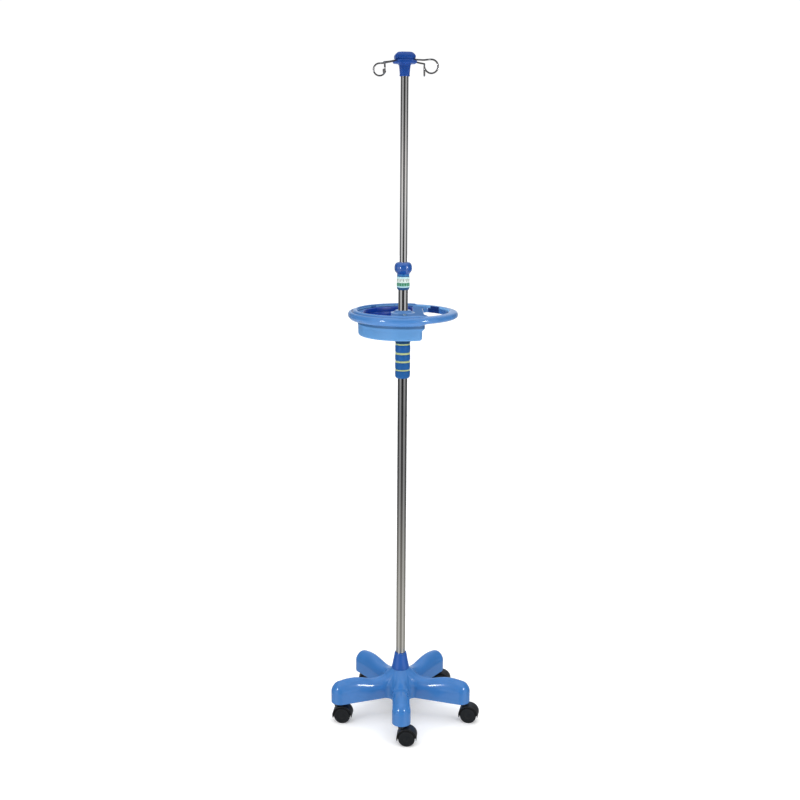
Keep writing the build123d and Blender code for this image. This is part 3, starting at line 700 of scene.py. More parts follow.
# =====================================================================
# casters
# =====================================================================
R_CASTER, TRAIL = 204.0, 16.5
SWIVEL = {"front": -5.6, "right": -12.3, "back_right": -9.0, "back_left": -4.0, "left": -7.1}


def place(points, az, sw):
    c = turn2((R_CASTER, 0.0), az)
    out = []
    for x, y, z in points:
        p = turn2((x + TRAIL, y), sw, c)
        out.append((p[0], p[1], z))
    return out


def hood_mesh():
    m = Mesh()
    low, trail = math.asin((16.0 - 25.0) / 30.2), math.asin((20.0 - 25.0) / 30.2)
    sec = rounded([(27.2, -18.6, 0.5), (30.2, -18.6, 2.6), (30.2, 18.6, 2.6), (27.2, 18.6, 0.5)], 5)
    loops = []
    n = 56
    for k in range(n + 1):
        t = lerp(trail, math.pi - low, k / n)
        # the fender's two ends are rounded off
        e = min(k, n - k) / 4.0
        pull = 0.0 if e >= 1 else (1 - math.sqrt(1 - (1 - e) ** 2)) * 0.9
        loops.append([((r - pull * (1 if r > 28.8 else -1)) * math.cos(t), y * (1 - pull * 0.03), 25.0 + (r - pull * (1 if r > 28.8 else -1)) * math.sin(t)) for r, y in sec])
    m.rings(loops)
    pts = []
    for k in range(41):
        t = lerp(trail * 0.98, math.pi - low * 0.98, k / 40)
        pts.append((28.2 * math.cos(t), 25.0 + 28.2 * math.sin(t)))
    flat = rounded([(x, z, 0.0) for x, z in pts] + [(-13.0, 13.3, 4.0), (11.8, 13.3, 3.0), (12.0, 20.1, 2.0)], 4)
    loops = []
    for y, o in ((-5.5, -0.5), (-5.0, 0.0), (5.0, 0.0), (5.5, -0.5)):
        loops.append([(x * (1 + o / 28), y, 25 + (z - 25) * (1 + o / 28)) for x, z in flat])
    m.rings(loops)
    m.lathe(rounded([(5.58, 51.8, 0.2), (9.6, 51.8), (10.2, 54.2), (8.6, 56.4, 2.2), (7.8, 58.4, 1.5), (7.8, 61.6, 0.7), (5.58, 61.6, 0.3)], 4), 48, centre=(-TRAIL, 0))
    return m


def axle_mesh():
    m = Mesh()
    m.lathe(rounded([(0, -17.0), (3.0, -17.0, 0.6), (3.0, 17.0, 0.6), (0, 17.0)]), 36)
    m.v = [(x, z, 25.0 + y) for x, y, z in m.v]
    return m


def wheel_mesh(s):
    m = Mesh()
    side = [(3.08, 6.0), (9.0, 6.0, 0.4), (9.8, 7.0, 0.4), (19.6, 7.0, 0.4), (20.6, 6.0, 0.4), (23.6, 6.0, 0.5), (25.0, 7.0, 0.8)]
    tread = []
    for y in (8.6, 10.8, 13.0, 15.2):
        tread += [(25.0, y - 0.35), (24.72, y - 0.12), (24.72, y + 0.12), (25.0, y + 0.35)]
    tread += [(25.0, 17.2, 1.2), (24.0, 18.9, 0.5)]
    prof = rounded(side + tread + [(22.9, 18.9, 0.3), (22.4, 19.9, 0.35), (21.0, 20.0, 0.4), (20.2, 19.3, 0.5), (9.0, 19.0, 1.5), (7.6, 19.7, 0.5), (6.0, 19.9, 0.6), (0, 19.9), (0, 17.4), (3.08, 17.4)], 3)
    m.lathe(prof, 96)
    # the tread gets the rubber, the rest the disc's plastic
    for i, f in enumerate(m.f):
        rs = [math.hypot(m.v[j][0], m.v[j][1]) for j in f]
        ys = [m.v[j][2] for j in f]
        m.m[i] = 1 if min(rs) > 23.0 and max(ys) < 19.3 else 0
    m.v = [(x, s * z, 25.0 + (y if s > 0 else y)) for x, y, z in m.v]
    return m


for name, az in zip(NAMES, LEGS):
    for kind, build, mat, body, slotname, mats in (
        ("hood", hood_mesh, M_caster, f"caster_{name}", "caster_black", None),
        ("axle", axle_mesh, M_zinc, f"caster_{name}", "plated_steel", None),
        ("wheel_a", lambda: wheel_mesh(-1), M_disc, f"caster_{name}_a", "wheel_black", [M_disc, M_tread]),
        ("wheel_b", lambda: wheel_mesh(1), M_disc, f"caster_{name}_b", "wheel_black", [M_disc, M_tread]),
    ):
        m = build()
        m.v = place(m.v, az, SWIVEL[name])
        m.put(f"{name}_{kind}", mat, body, sharp=34, replaces=(f"caster_{name}_{kind}",), slot=slotname, mats=mats)

m, n = Mesh(), Mesh()
for az in LEGS:
    c = turn2((R_CASTER, 0.0), az)
    m.lathe(rounded([(5.52, 65.0), (5.52, 64.3), (11.0, 64.3, 0.5), (11.0, 66.0, 0.4), (8.0, 66.0, 0.3), (7.98, 111.5, 0.6), (0, 111.5), (0, 106.0), (5.52, 106.0)]), 48, centre=c)
    n.lathe(rounded([(0, 31.0), (3.0, 31.0, 0.7), (3.0, 52.0, 0.2), (5.5, 52.0, 0.6), (5.5, 62.2, 0.2), (9.0, 62.2, 0.6), (9.0, 64.3, 0.6), (5.5, 64.3, 0.2), (5.5, 105.5, 0.7), (0, 105.5)]), 48, centre=c)
m.put("stem_sockets", M_nylon, "stand", replaces=("caster_sockets",), slot="nylon_black")
n.put("stems", M_zinc, "stand", replaces=("caster_stems",), slot="plated_steel")

# =====================================================================
# grip
# =====================================================================
G0, G1, GR = 1066.0, 1186.0, 22.1
RINGS = [(1090.7, 2.0), (1115.8, 2.6), (1139.9, 3.0), (1167.1, 2.1)]
prof = [(14.06, G0 + 0.6), (14.6, G0, 0.3), (16.8, G0, 0.8), (19.0, G0 + 0.9, 1.6), (21.8, G0 + 5.2, 3.0), (GR, G0 + 11)]
for zc, hh in RINGS:
    prof += [(GR, zc - hh - 3.6, 2.0), (GR - 1.0, zc - hh - 0.7, 0.6), (GR - 2.2, zc - hh, 0.3), (GR - 2.2, zc + hh, 0.3), (GR - 1.0, zc + hh + 0.7, 0.6), (GR, zc + hh + 3.6, 2.0)]
prof += [(GR, G1 - 11.5), (GR, G1 - 1.2, 0.9), (GR - 0.9, G1, 0.5), (14.06, G1)]
m = Mesh()
m.lathe(rounded(prof, 4), 128)
# the top of the grip, under the tub, gets painted shade
for i, f in enumerate(m.f):
    if min(m.v[j][2] for j in f) > 1169.6:
        m.m[i] = 1
m.put("grip", M_grip, "stand", sharp=40, replaces=("grip_sleeve",), slot="grip_blue", mats=[M_grip, M_grip_top_painted_shade])
m = Mesh()
for zc, hh in RINGS:
    m.lathe(rounded([(GR - 2.3, zc - hh + 0.02), (GR - 1.1, zc - hh + 0.02, 0.3), (GR - 0.6, zc - hh + 0.8, 0.6), (GR - 0.5, zc), (GR - 0.6, zc + hh - 0.8, 0.6), (GR - 1.1, zc + hh - 0.02, 0.3), (GR - 2.3, zc + hh - 0.02)], 4), 128)
m.put("grip_bands", M_lime, "stand", sharp=40, replaces=("grip_rings",), slot="lime")

# =====================================================================
# handle ring and tray
# =====================================================================
PLAIN = [(160.0, 1254.4), (159.2, 1258.5), (156.8, 1262.1), (153.8, 1263.8), (150.4, 1264.7), (147.4, 1265.1), (145.0, 1265.3), (142.6, 1265.5),
         (140.2, 1265.6), (137.2, 1265.3), (134.9, 1264.1), (133.7, 1261.4), (133.3, 1256.0), (133.3, 1248.6), (134.6, 1245.0), (139.0, 1243.6),
         (144.5, 1244.3), (150.0, 1245.4), (155.6, 1247.6), (159.0, 1250.7)]
LIPPED = [(160.0, 1254.0), (159.1, 1258.2), (156.6, 1261.7), (152.8, 1263.4), (150.0, 1262.9), (148.2, 1260.3), (146.7, 1263.0), (144.4, 1266.2),
          (141.2, 1268.0), (137.9, 1268.4), (135.2, 1267.1), (133.8, 1262.8), (133.4, 1256.0), (133.4, 1248.0), (135.2, 1243.2), (141.0, 1240.8),
          (147.5, 1239.8), (152.2, 1241.2), (156.6, 1245.6), (159.1, 1249.8)]


def closed_curve(pts, per=4):
    n, out = len(pts), []
    for i in range(n):
        p0, p1, p2, p3 = pts[i - 1], pts[i], pts[(i + 1) % n], pts[(i + 2) % n]
        for k in range(per):
            t = k / per
            out.append(tuple(
                0.5 * (2 * p1[c] + (p2[c] - p0[c]) * t + (2 * p0[c] - 5 * p1[c] + 4 * p2[c] - p3[c]) * t * t
                       + (3 * p1[c] - p0[c] - 3 * p2[c] + p3[c]) * t * t * t) for c in (0, 1)))
    return out


def ring_weight(az):
    """1 where the tray's lip and skirt run on the ring, 0 on the bare handle."""
    a = (az - 72.0) % 360.0
    if a < 222.0:
        return smooth(-2.0, 3.0, a + 0.0) if a < 10 else 1.0 - smooth(214.0, 226.0, a)
    if a < 234:
        return 1.0 - smooth(214.0, 226.0, a)
    return smooth(-2.0, 3.0, a - 360.0)


m = Mesh()
loops = []
N = 360
for k in range(N):
    az = 360.0 * k / N
    w = ring_weight(az)
    sec = closed_curve([(lerp(p[0], q[0], w), lerp(p[1], q[1], w)) for p, q in zip(PLAIN, LIPPED)], 3)
    a = math.radians(az)
    loops.append([(r * math.cos(a), r * math.sin(a), z) for r, z in sec])
m.rings(loops, cap=False, closed_v=True)
# inside, the ring gets painted shade low down (a darker wall colour) and a dark painted shadow for a stretch behind the
# hand opening; higher up its inside is painted lighter, a painted light, and the groove at the left end gets a dark
# painted shade line as a crease
for i, f in enumerate(m.f):
    rs = [math.hypot(m.v[j][0], m.v[j][1]) for j in f]
    zc = sum(m.v[j][2] for j in f) / len(f)
    az = math.degrees(math.atan2(sum(m.v[j][1] for j in f), sum(m.v[j][0] for j in f))) % 360.0
    if max(rs) < 136.5 and zc < 1264.6:
        if 36.0 < az < 51.5 or (51.5 <= az < 62.0 and zc < 1257.5):
            m.m[i] = 3
        elif 76.0 < az < 178.0:
            m.m[i] = 3 if zc < 1260.4 else 2 if 126.0 < az < 134.0 else 5
        elif zc < 1260.0 and (az < 36.0 or az > 178.0):
            m.m[i] = 2
        elif 0.0 <= az <= 180.0:
            m.m[i] = 5
    # the groove at the left end: painted shade as a dark crease
    elif 165.0 < az < 232.0 and 146.8 < min(rs) and max(rs) < 150.2 and zc < 1262.7 and zc > 1258.0:
        m.m[i] = 3


def arc_pts(r, a0, a1, n, c=(0.0, 0.0)):
    return [(c[0] + r * math.cos(math.radians(lerp(a0, a1, k / n))), c[1] + r * math.sin(math.radians(lerp(a0, a1, k / n)))) for k in range(n + 1)]


DECK_X, DECK_R = 60.5, 136.6


def flare(rad, yc, side, n=22):
    """The deck's edge curving out from the straight edge to the ring."""
    cx = DECK_X + rad
    # where the curve meets the deck's own circle
    lo, hi = 0.0, math.pi / 2
    for _ in range(40):
        t = (lo + hi) / 2
        x, y = cx - rad * math.cos(t), yc + rad * math.sin(t)
        lo, hi = (t, hi) if math.hypot(x, y) < DECK_R else (lo, t)
    return [(cx - rad * math.cos(lo * k / n), side * (yc + rad * math.sin(lo * k / n))) for k in range(n + 1)]


# in front the edge runs out along a tongue, behind it flares straight into the ring
tongue = pchip([(28.0, 60.5), (35.0, 61.3), (42.0, 63.4), (50.0, 66.4), (58.0, 69.2), (67.0, 71.4), (77.0, 72.8), (90.0, 74.2), (115.0, 78.0)])
near = [(DECK_X, -27.9)]
for k in range(1, 60):
    yk = 28.0 + 1.5 * (k - 1)
    if math.hypot(tongue(yk), yk) > DECK_R:
        break
    near.append((tongue(yk), -yk))
far = flare(26.0, 84.0, 1)
deck_out = list(reversed(near))
deck_out += [(DECK_X, lerp(-27.9, 84.0, k / 30)) for k in range(1, 30)]
deck_out += far
a0, a1 = math.degrees(math.atan2(far[-1][1], far[-1][0])), math.degrees(math.atan2(near[-1][1], near[-1][0])) + 360.0
deck_out += arc_pts(DECK_R, a0, a1, 160)[1:-1]
back = math.degrees(math.acos(30.0 / 129.0))
pocket = rounded([(-109.6, -68.0, 8.0), (-35.0, -68.0, 12.0), (-35.0, 32.0, 6.0), (30.0, 32.0, 8.0), (30.0, 125.4, 5.0)]
                 + [(*p, 0.0) for p in arc_pts(129.0, back + 3, 128.0, 36)]
                 + [(-93.5, 86.5), (-103.0, 72.0), (-109.6, 55.0), (-113.6, 36.0), (-115.0, 16.0), (-115.0, -58.4, 10.0)], 6)
# even spacing along the straight sides keeps the skin smooth
pocket = resample(pocket, 220)
hole = arc_pts(18.0, 0, 360, 48)[:-1]


def slab(m, outer, holes, top, low, rt, rb=0.6, mat_wall=None):
    """A plate with rounded edges and holes."""
    def column(loop, sign, wall_mat):
        rows = []
        for k in range(6):
            t = math.pi / 2 * k / 5
            rows.append((rt * (1 - math.sin(t)), top - rt + rt * math.cos(t)))
        mid = [(0.0, lerp(top - rt, low + rb, q)) for q in (0.33, 0.66)]
        rows += mid
        for k in range(4):
            t = math.pi / 2 * k / 3
            rows.append((rb * (1 - math.cos(t)), low + rb - rb * math.sin(t)))
        ids = []
        for o, z in rows:
            ring = offset_loop(loop, -o * sign)
            row = []
            for x, y in ring:
                row.append(len(m.v))
                m.v.append((x, y, z))
            ids.append((row, ring))
        n = len(loop)
        for (a, _), (b, _) in zip(ids, ids[1:]):
            for i in range(n):
                j = (i + 1) % n
                m.f.append((a[i], a[j], b[j], b[i]))
                m.m.append(wall_mat)
        return ids[0], ids[-1]
    o = column(outer, 1, 0)
    hs = [column(h, -1, hm) for h, hm in holes]
    for side in (0, 1):
        disc_cap(m, o[side][0], o[side][1], 0, holes=[(h[side][0], h[side][1]) for h in hs], mat=4 if side == 0 else 0)


# the pocket's walls get the painted shade of the tray's inside
slab(m, deck_out, [(pocket, 1), (hole, 0)], 1259.0, 1245.05, 2.2)
# collar round the pole
m.lathe(rounded([(14.07, 1197.7), (22.0, 1197.7, 0.5), (22.0, 1247.0), (30.0, 1254.0), (35.5, 1258.4), (35.0, 1259.05, 0.3), (29.6, 1259.9, 5.0), (24.6, 1263.0, 3.0), (22.4, 1265.8, 1.0), (20.6, 1266.4, 0.8), (15.2, 1266.4, 0.8), (14.07, 1265.4)], 6), 96)
for x, y in ((-18.0, -78.0), (36.0, -72.0), (36.0, 8.0)):
    m.lathe(rounded([(1.85, 1197.7), (5.0, 1197.7, 0.6), (5.2, 1250.0), (1.85, 1250.0)]), 36, centre=(x, y))
m.put("tray_upper", M_tray, "stand", sharp=36, replaces=("tray_top",), slot="light_blue", weld=0.0, mats=[M_tray, M_inside_painted_shade, M_ring_wall_painted_shade, M_ring_painted_shadow, M_deck, M_ring_inside_painted_light]).visible_glossy = False


def dloop(r, x, c, z, n_arc=132, n_fil=10, n_line=26):
    """A circle cut off at X = x with its two corners rounded, anticlockwise."""
    yc = math.sqrt((r - c) ** 2 - (x - c) ** 2)
    a = math.atan2(yc, x - c)
    out = [(x, lerp(-yc, yc, k / n_line), z) for k in range(n_line)]
    out += [(x - c + c * math.cos(a * k / n_fil), yc + c * math.sin(a * k / n_fil), z) for k in range(n_fil)]
    out += [(r * math.cos(lerp(a, TAU - a, k / n_arc)), r * math.sin(lerp(a, TAU - a, k / n_arc)), z) for k in range(n_arc)]
    out += [(x - c + c * math.cos(-a + a * k / n_fil), -yc + c * math.sin(-a + a * k / n_fil), z) for k in range(n_fil)]
    return out


def build_tub():
    m = Mesh()
    rows = []  # (r, x, corner, z)
    for k in range(9):
        t = math.pi / 2 * k / 8
        i = 7.5 * (1 - math.sin(t))
        rows.append((130.0 - i, 52.5 - i, 14.0 - i, 1202.1 - 7.5 * math.cos(t)))
    rows += [(130.0, 52.5, 14.0, 1205.0), (130.1, 52.5, 14.0, 1213.0), (130.1, 52.5, 14.0, 1218.0), (130.3, 52.8, 14.0, 1221.0)]
    for k in range(1, 8):
        t = smooth(0, 1, k / 8)
        rows.append((lerp(130.3, 131.2, t), lerp(52.8, 60.0, t), 14.0, lerp(1221.5, 1228.6, k / 8)))
    rows += [(131.2, 60.0, 14.0, 1229.6), (131.2, 60.0, 14.0, 1234.0), (131.2, 60.0, 14.0, 1239.0), (131.2, 60.0, 14.0, 1244.4), (130.6, 59.4, 13.4, 1245.0)]
    outer = len(rows)
    rows += [(127.3, 49.8, 11.3, 1245.0), (127.0, 49.5, 11.0, 1244.4), (127.0, 49.5, 11.0, 1232.0), (127.0, 49.5, 11.0, 1218.0)]
    for k in range(7):
        t = math.pi / 2 * k / 6
        i = 5.0 * (1 - math.cos(t))
        rows.append((127.0 - i, 49.5 - i, 11.0 - i, 1202.6 - 5.0 * math.sin(t)))
    base = len(m.v)
    loops = [dloop(*r) for r in rows]
    n = len(loops[0])
    for loop in loops:
        m.v += loop
    for i in range(len(loops) - 1):
        for j in range(n):
            k = (j + 1) % n
            m.f.append((base + i * n + j, base + i * n + k, base + (i + 1) * n + k, base + (i + 1) * n + j))
            # the outer wall just under the ring gets painted shade, and the whole inside gets painted shade too
            m.m.append((2 if rows[i][3] > 1229.0 else 0) if i < outer else 1)
    # the floor, round the pole
    hole = arc_pts(14.3, 0, 360, 64)[:-1]
    ids_low, ids_top = [], []
    for x, y in hole:
        ids_low.append(len(m.v))
        m.v.append((x, y, 1194.6))
    for x, y in hole:
        ids_top.append(len(m.v))
        m.v.append((x, y, 1197.6))
    for i in range(64):
        j = (i + 1) % 64
        m.f.append((ids_low[i], ids_low[j], ids_top[j], ids_top[i]))
        m.m.append(0)
    first, last = [base + j for j in range(n)], [base + (len(loops) - 1) * n + j for j in range(n)]
    disc_cap(m, first, [p[:2] for p in loops[0]], 0, holes=[(ids_low, hole)], mat=0)
    # the tub's inside floor gets painted shade
    disc_cap(m, last, [p[:2] for p in loops[-1]], 0, holes=[(ids_top, hole)], mat=1)
    m.put("tray_lower", M_tub, "stand", sharp=36, replaces=("tray_tub",), slot="light_blue", weld=0.0, mats=[M_tub, M_inside_painted_shade, M_flange_painted_shade])


build_tub()


def plus(a, l, w):
    b = abs((a + math.pi / 4) % (math.pi / 2) - math.pi / 4)
    return min(l / math.cos(b), w / math.sin(b) if b > 1e-6 else 1e9)


def hexagon(a, r):
    b = (a + math.pi / 6) % (math.pi / 3) - math.pi / 6
    return r * math.cos(math.pi / 6) / math.cos(b)


def screw(m, x, y, z, r, h, up=1, drive="cross", shank=0.0, length=0.0, flat=False):
    """A screw: a domed head with its drive cut in, and a threaded shank."""
    n = 96
    prof = [(0.96, 0.0), (1.0, 0.06), (1.0, 0.28), (0.965, 0.5), (0.88, 0.72), (0.74, 0.88), (0.58, 0.965)] if not flat else \
        [(0.97, 0.0), (1.0, 0.05), (1.0, 0.80), (0.97, 0.93), (0.90, 1.0), (0.62, 1.0)]
    loops = [[(x + r * q * math.cos(TAU * k / n), y + r * q * math.sin(TAU * k / n), z + up * h * t) for k in range(n)] for q, t in prof]
    for q, t in ((1.0, 0.985), (0.97, 0.93), (0.86, 0.42), (0.80, 0.35)):
        row = []
        for k in range(n):
            a = TAU * k / n
            rr = plus(a, r * 0.54, r * 0.13) if drive == "cross" else hexagon(a, r * 0.5)
            row.append((x + rr * q * math.cos(a), y + rr * q * math.sin(a), z + up * h * t))
        loops.append(row)
    m.rings(loops)
    if shank:
        prof = [(0, z), (shank, z)]
        turns = int(length / 0.8)
        for k in range(turns):
            prof += [(shank, z - up * (0.8 * k + 0.5)), (shank * 0.88, z - up * (0.8 * k + 0.8))]
        prof += [(0, z - up * (length))]
        m.lathe(prof, 32, centre=(x, y))


m = Mesh()
screw(m, 3.0, -56.0, 1259.02, 5.2, 3.5, shank=1.95, length=18.5)
m.put("pocket_screw", M_blue_zinc, "stand", sharp=36, replaces=("deck_screw",), slot="plated_steel", weld=0.0)
m = Mesh()
for x, y in ((-18.0, -78.0), (36.0, -72.0), (36.0, 8.0)):
    screw(m, x, y, 1194.58, 4.0, 2.3, up=-1, shank=1.75, length=18.5)
m.put("tub_screws", M_zinc, "stand", sharp=36, replaces=("tray_screws",), slot="plated_steel", weld=0.0)

# the collar under the tray, with its grub screw
m = Mesh()
m.lathe(rounded([(14.02, 1186.05), (21.4, 1186.05, 0.4), (22.0, 1186.6, 0.4), (22.0, 1194.0, 0.4), (21.4, 1194.55, 0.4), (14.02, 1194.55)]), 96)
# the collar's colour is darker still as painted shade under the tub
m.put("under_tray_collar", M_under_collar_painted_shade, "stand", replaces=("tray_collar",), slot="dark_blue")
m = Mesh()
m.lathe([(0, -2.6), (2.2, -2.6), (2.45, -2.3)] + [(2.45 - (0.2 if k % 2 else 0.0), -2.1 + 0.3 * k) for k in range(15)] + [(2.2, 2.6), (1.3, 2.7), (1.25, 0.8), (0, 0.8)], 36)
m.v = [(x, 19.0 + z, 1190.3 - y) for x, y, z in m.v]
m.put("grub_screw", M_zinc, "stand", replaces=("collar_screw",), slot="plated_steel")

# =====================================================================
# height lock
# =====================================================================
m = Mesh()
m.lathe(rounded([(14.06, 1326.2), (14.6, 1325.5, 0.3), (15.4, 1325.5, 0.8), (18.4, 1330.8, 2.0), (18.6, 1333.0, 0.2), (17.38, 1333.1), (17.38, 1363.7), (17.6, 1363.85, 0.1), (17.6, 1364.4, 0.2), (15.0, 1364.4), (15.0, 1384.0, 0.6), (13.4, 1386.0, 0.4), (13.2, 1386.0), (13.2, 1364.0), (11.6, 1362.0), (11.6, 1352.05), (14.06, 1352.05)]), 128)
m.put("clamp_collar", M_collar, "stand", replaces=("clamp_body",), slot="light_blue")

m = Mesh()
seg = 240
prof = [(17.42, 1333.2), (18.4, 1333.1), (18.65, 1333.4), (18.65, 1337.2), (18.75, 1337.4), (18.75, 1342.0), (18.75, 1346.6), (18.65, 1346.8),
        (18.65, 1350.4), (18.65, 1354.0), (18.65, 1357.6), (18.65, 1359.4), (18.65, 1363.4), (18.4, 1363.75), (17.42, 1363.75)]
m.lathe(prof, seg)
for i, f in enumerate(m.f):
    zc = sum(m.v[j][2] for j in f) / len(f)
    rc = sum(math.hypot(m.v[j][0], m.v[j][1]) for j in f) / len(f)
    a = int(((math.degrees(math.atan2(sum(m.v[j][1] for j in f), sum(m.v[j][0] for j in f))) + 360.0) % 360.0) / 1.5)
    if rc > 18.5:
        if 1337.3 < zc < 1346.7 and a % 10 < 8:
            m.m[i] = 2
        elif 1350.4 < zc < 1357.5 and a % 10 < 3 and (zc > 1354.0 or a % 20 < 3):
            m.m[i] = 1
        elif 1346.8 < zc < 1359.4:
            m.m[i] = 3
M_band = plastic("band_white", (0.60, 0.94, 0.98), rough=0.3, vary=0.03, bump=0.01, edge=0.05)
M_ivory = plastic("band_ivory", (0.84, 0.97, 0.88), rough=0.3, vary=0.03, bump=0.01, edge=0.05)
M_tick = plastic("band_tick_grey", (0.015, 0.03, 0.03), rough=0.45, spec=0.1, vary=0.1, bump=0.01, edge=0.05)
M_mark = plastic("band_mark_green", (0.012, 0.24, 0.065), rough=0.45, spec=0.1, vary=0.1, bump=0.01, edge=0.05)
m.put("scale_band", M_band, "stand", sharp=25, replaces=("label_band",), slot="band_white", mats=[M_band, M_tick, M_mark, M_ivory])

# collet: a split nylon sleeve
m = Mesh()
sec = rounded([(11.06, 1364.5), (13.1, 1364.5, 0.5), (13.1, 1387.0, 0.3), (14.2, 1388.5, 0.4), (14.2, 1391.0, 0.4), (11.06, 1391.0)])
loops = []
for k in range(97):
    a = math.radians(92.4 + 355.2 * k / 96)
    loops.append([(r * math.cos(a), r * math.sin(a), z) for r, z in sec])
m.rings(loops)
m.put("split_collet", M_white, "stand", replaces=("collet",), slot="nylon_white")


def flutes(r, z, a):
    if r < 17.6 or z < 1366:
        return 0.0
    s = 0.5 + 0.5 * math.cos(9 * a + 0.6)
    return -0.5 * smooth(17.6, 23.0, r) * s ** 1.6


m = Mesh()
knob = rounded([(15.06, 1365.02), (17.4, 1365.02, 0.3), (17.7, 1365.9, 0.4), (17.7, 1370.6, 1.0), (18.8, 1372.8, 1.8), (22.4, 1376.6, 3.5), (24.9, 1381.4, 4.5), (25.75, 1387.0, 5.0), (25.6, 1392.4, 4.5), (24.4, 1397.6, 4.5), (21.6, 1402.0, 4.0), (17.6, 1404.6, 3.0), (14.4, 1405.4, 1.0), (11.34, 1405.4, 0.5), (11.34, 1394.0), (14.6, 1392.0), (14.6, 1387.0), (15.06, 1386.4)], 5)
m.lathe(knob, 180, wave=flutes)
for i, f in enumerate(m.f):
    if max(m.v[j][2] for j in f) < 1371.0:
        m.m[i] = 1
m.put("lock_handwheel", M_knob, "lock", sharp=40, replaces=("lock_knob",), slot="dark_blue", mats=[M_knob, M_neck])

# =====================================================================
# hook head
# =====================================================================
HOOK_AZ, LOOP_AZ, WIRE = -39.0, -1.0, 2.45
# each hook as bent: radius of its loop, height of the loop's centre, fall of its arm,
# distance of the loop from the pole's axis, and the turn of the loop about the vertical
HOOKS = (("hook_front_right", 18.2, 1942.6, 0.085, 92.0, 0.0), ("hook_back_right", 16.0, 1942.0, 0.100, 90.8, 0.0),
         ("hook_back_left", 16.9, 1941.4, 0.100, 90.0, 0.0), ("hook_front_left", 15.2, 1937.4, 0.180, 90.8, 8.0))


def oct_loop(w, c, z, rad, az):
    h = w / 2
    c = min(c, h - 0.8)
    pts = [(h, -h + c), (h, h - c), (h - c, h), (-h + c, h), (-h, h - c), (-h, -h + c), (-h + c, -h), (h - c, -h)]
    loop = rounded([(*p, rad) for p in pts], 4)
    return [(*turn2(p, az), z) for p in loop]


def oct_stack(m, secs, edge, corner, az):
    """A stack of eight-sided sections with its edges rounded. secs holds (width, chamfer, z)."""
    pts = [(0.0, secs[0][2])] + [(s[0] / 2, s[2], edge) for s in secs] + [(0.0, secs[-1][2])]
    loops = []
    prof = rounded(pts, 3)
    # the two points on the axis come first and last
    inner = prof[1:-1]
    per = len(inner) / len(secs)
    for i, (h, z) in enumerate(inner):
        c = secs[min(len(secs) - 1, int(i / per))][1]
        loops.append(oct_loop(2 * h, c, z, min(corner, c * 0.4 + 0.3), az))
    m.rings(loops)


m = Mesh()
oct_stack(m, [(50, 15, 1952.6), (59.6, 17, 1953.3), (63.6, 16.5, 1955.8), (63.6, 12.5, 1960.8), (60.6, 11, 1962.6), (54, 10, 1965.1)], 0.7, 1.6, HOOK_AZ + 45)
oct_stack(m, [(26.0, 5.4, 1923.2), (28.0, 4.4, 1938), (30.6, 3.8, 1949.0), (37, 5.0, 1953.6)], 0.8, 1.6, HOOK_AZ + 45)
m.lathe(rounded([(11.02, 1919.4), (13.7, 1919.4, 0.5), (14.3, 1920.3, 0.5), (14.3, 1923.0, 0.6), (13.2, 1925.9, 0.8), (12.8, 1927.5), (11.02, 1927.5)]), 96)
m.put("head_lower", M_dark, "mast", sharp=38, replaces=("head_body",), slot="dark_blue", weld=0.0)
m = Mesh()
oct_stack(m, [(54, 10, 1965.22), (55.4, 9.5, 1967.3), (56.6, 9, 1969.9), (56.6, 9, 1973.4), (53.0, 9, 1977.4), (44.6, 9, 1982.1), (38.2, 8.5, 1984.15)], 0.9, 1.8, HOOK_AZ + 45)
m.put("head_upper", M_dark, "mast", sharp=38, replaces=("head_cap",), slot="dark_blue", weld=0.0)
m = Mesh()
screw(m, 0.0, 0.0, 1981.0, 4.6, 2.8, drive="hex", shank=2.4, length=44.0, flat=True)
m.put("cap_screw", M_zinc, "mast", sharp=36, replaces=("head_screw",), slot="plated_steel", weld=0.0)


def vec(az, r, z):
    return Vector((r * math.cos(math.radians(az)), r * math.sin(math.radians(az)), z))


def sweep(m, pts, rad, n=24):
    """A round wire along points, with rounded ends."""
    loops = []
    t0 = (pts[1] - pts[0]).normalized()
    u = t0.orthogonal().normalized()
    tang = []
    for i in range(len(pts)):
        a, b = pts[max(0, i - 1)], pts[min(len(pts) - 1, i + 1)]
        tang.append((b - a).normalized())

    def ring(p, t, rr, u):
        v = t.cross(u)
        return [tuple(p + (u * math.cos(TAU * k / n) + v * math.sin(TAU * k / n)) * rr) for k in range(n)]
    prev = tang[0]
    for k in range(5, 0, -1):
        s = math.pi / 2 * k / 5.5
        loops.append(ring(pts[0] - tang[0] * rad * math.sin(s) * 0.999, tang[0], rad * math.cos(s), u))
    for p, t in zip(pts, tang):
        q = prev.rotation_difference(t)
        u = (q @ u).normalized()
        u = (u - t * u.dot(t)).normalized()
        prev = t
        loops.append(ring(p, t, rad, u))
    for k in range(1, 6):
        s = math.pi / 2 * k / 5.5
        loops.append(ring(pts[-1] + tang[-1] * rad * math.sin(s) * 0.999, tang[-1], rad * math.cos(s), u))
    m.rings(loops)


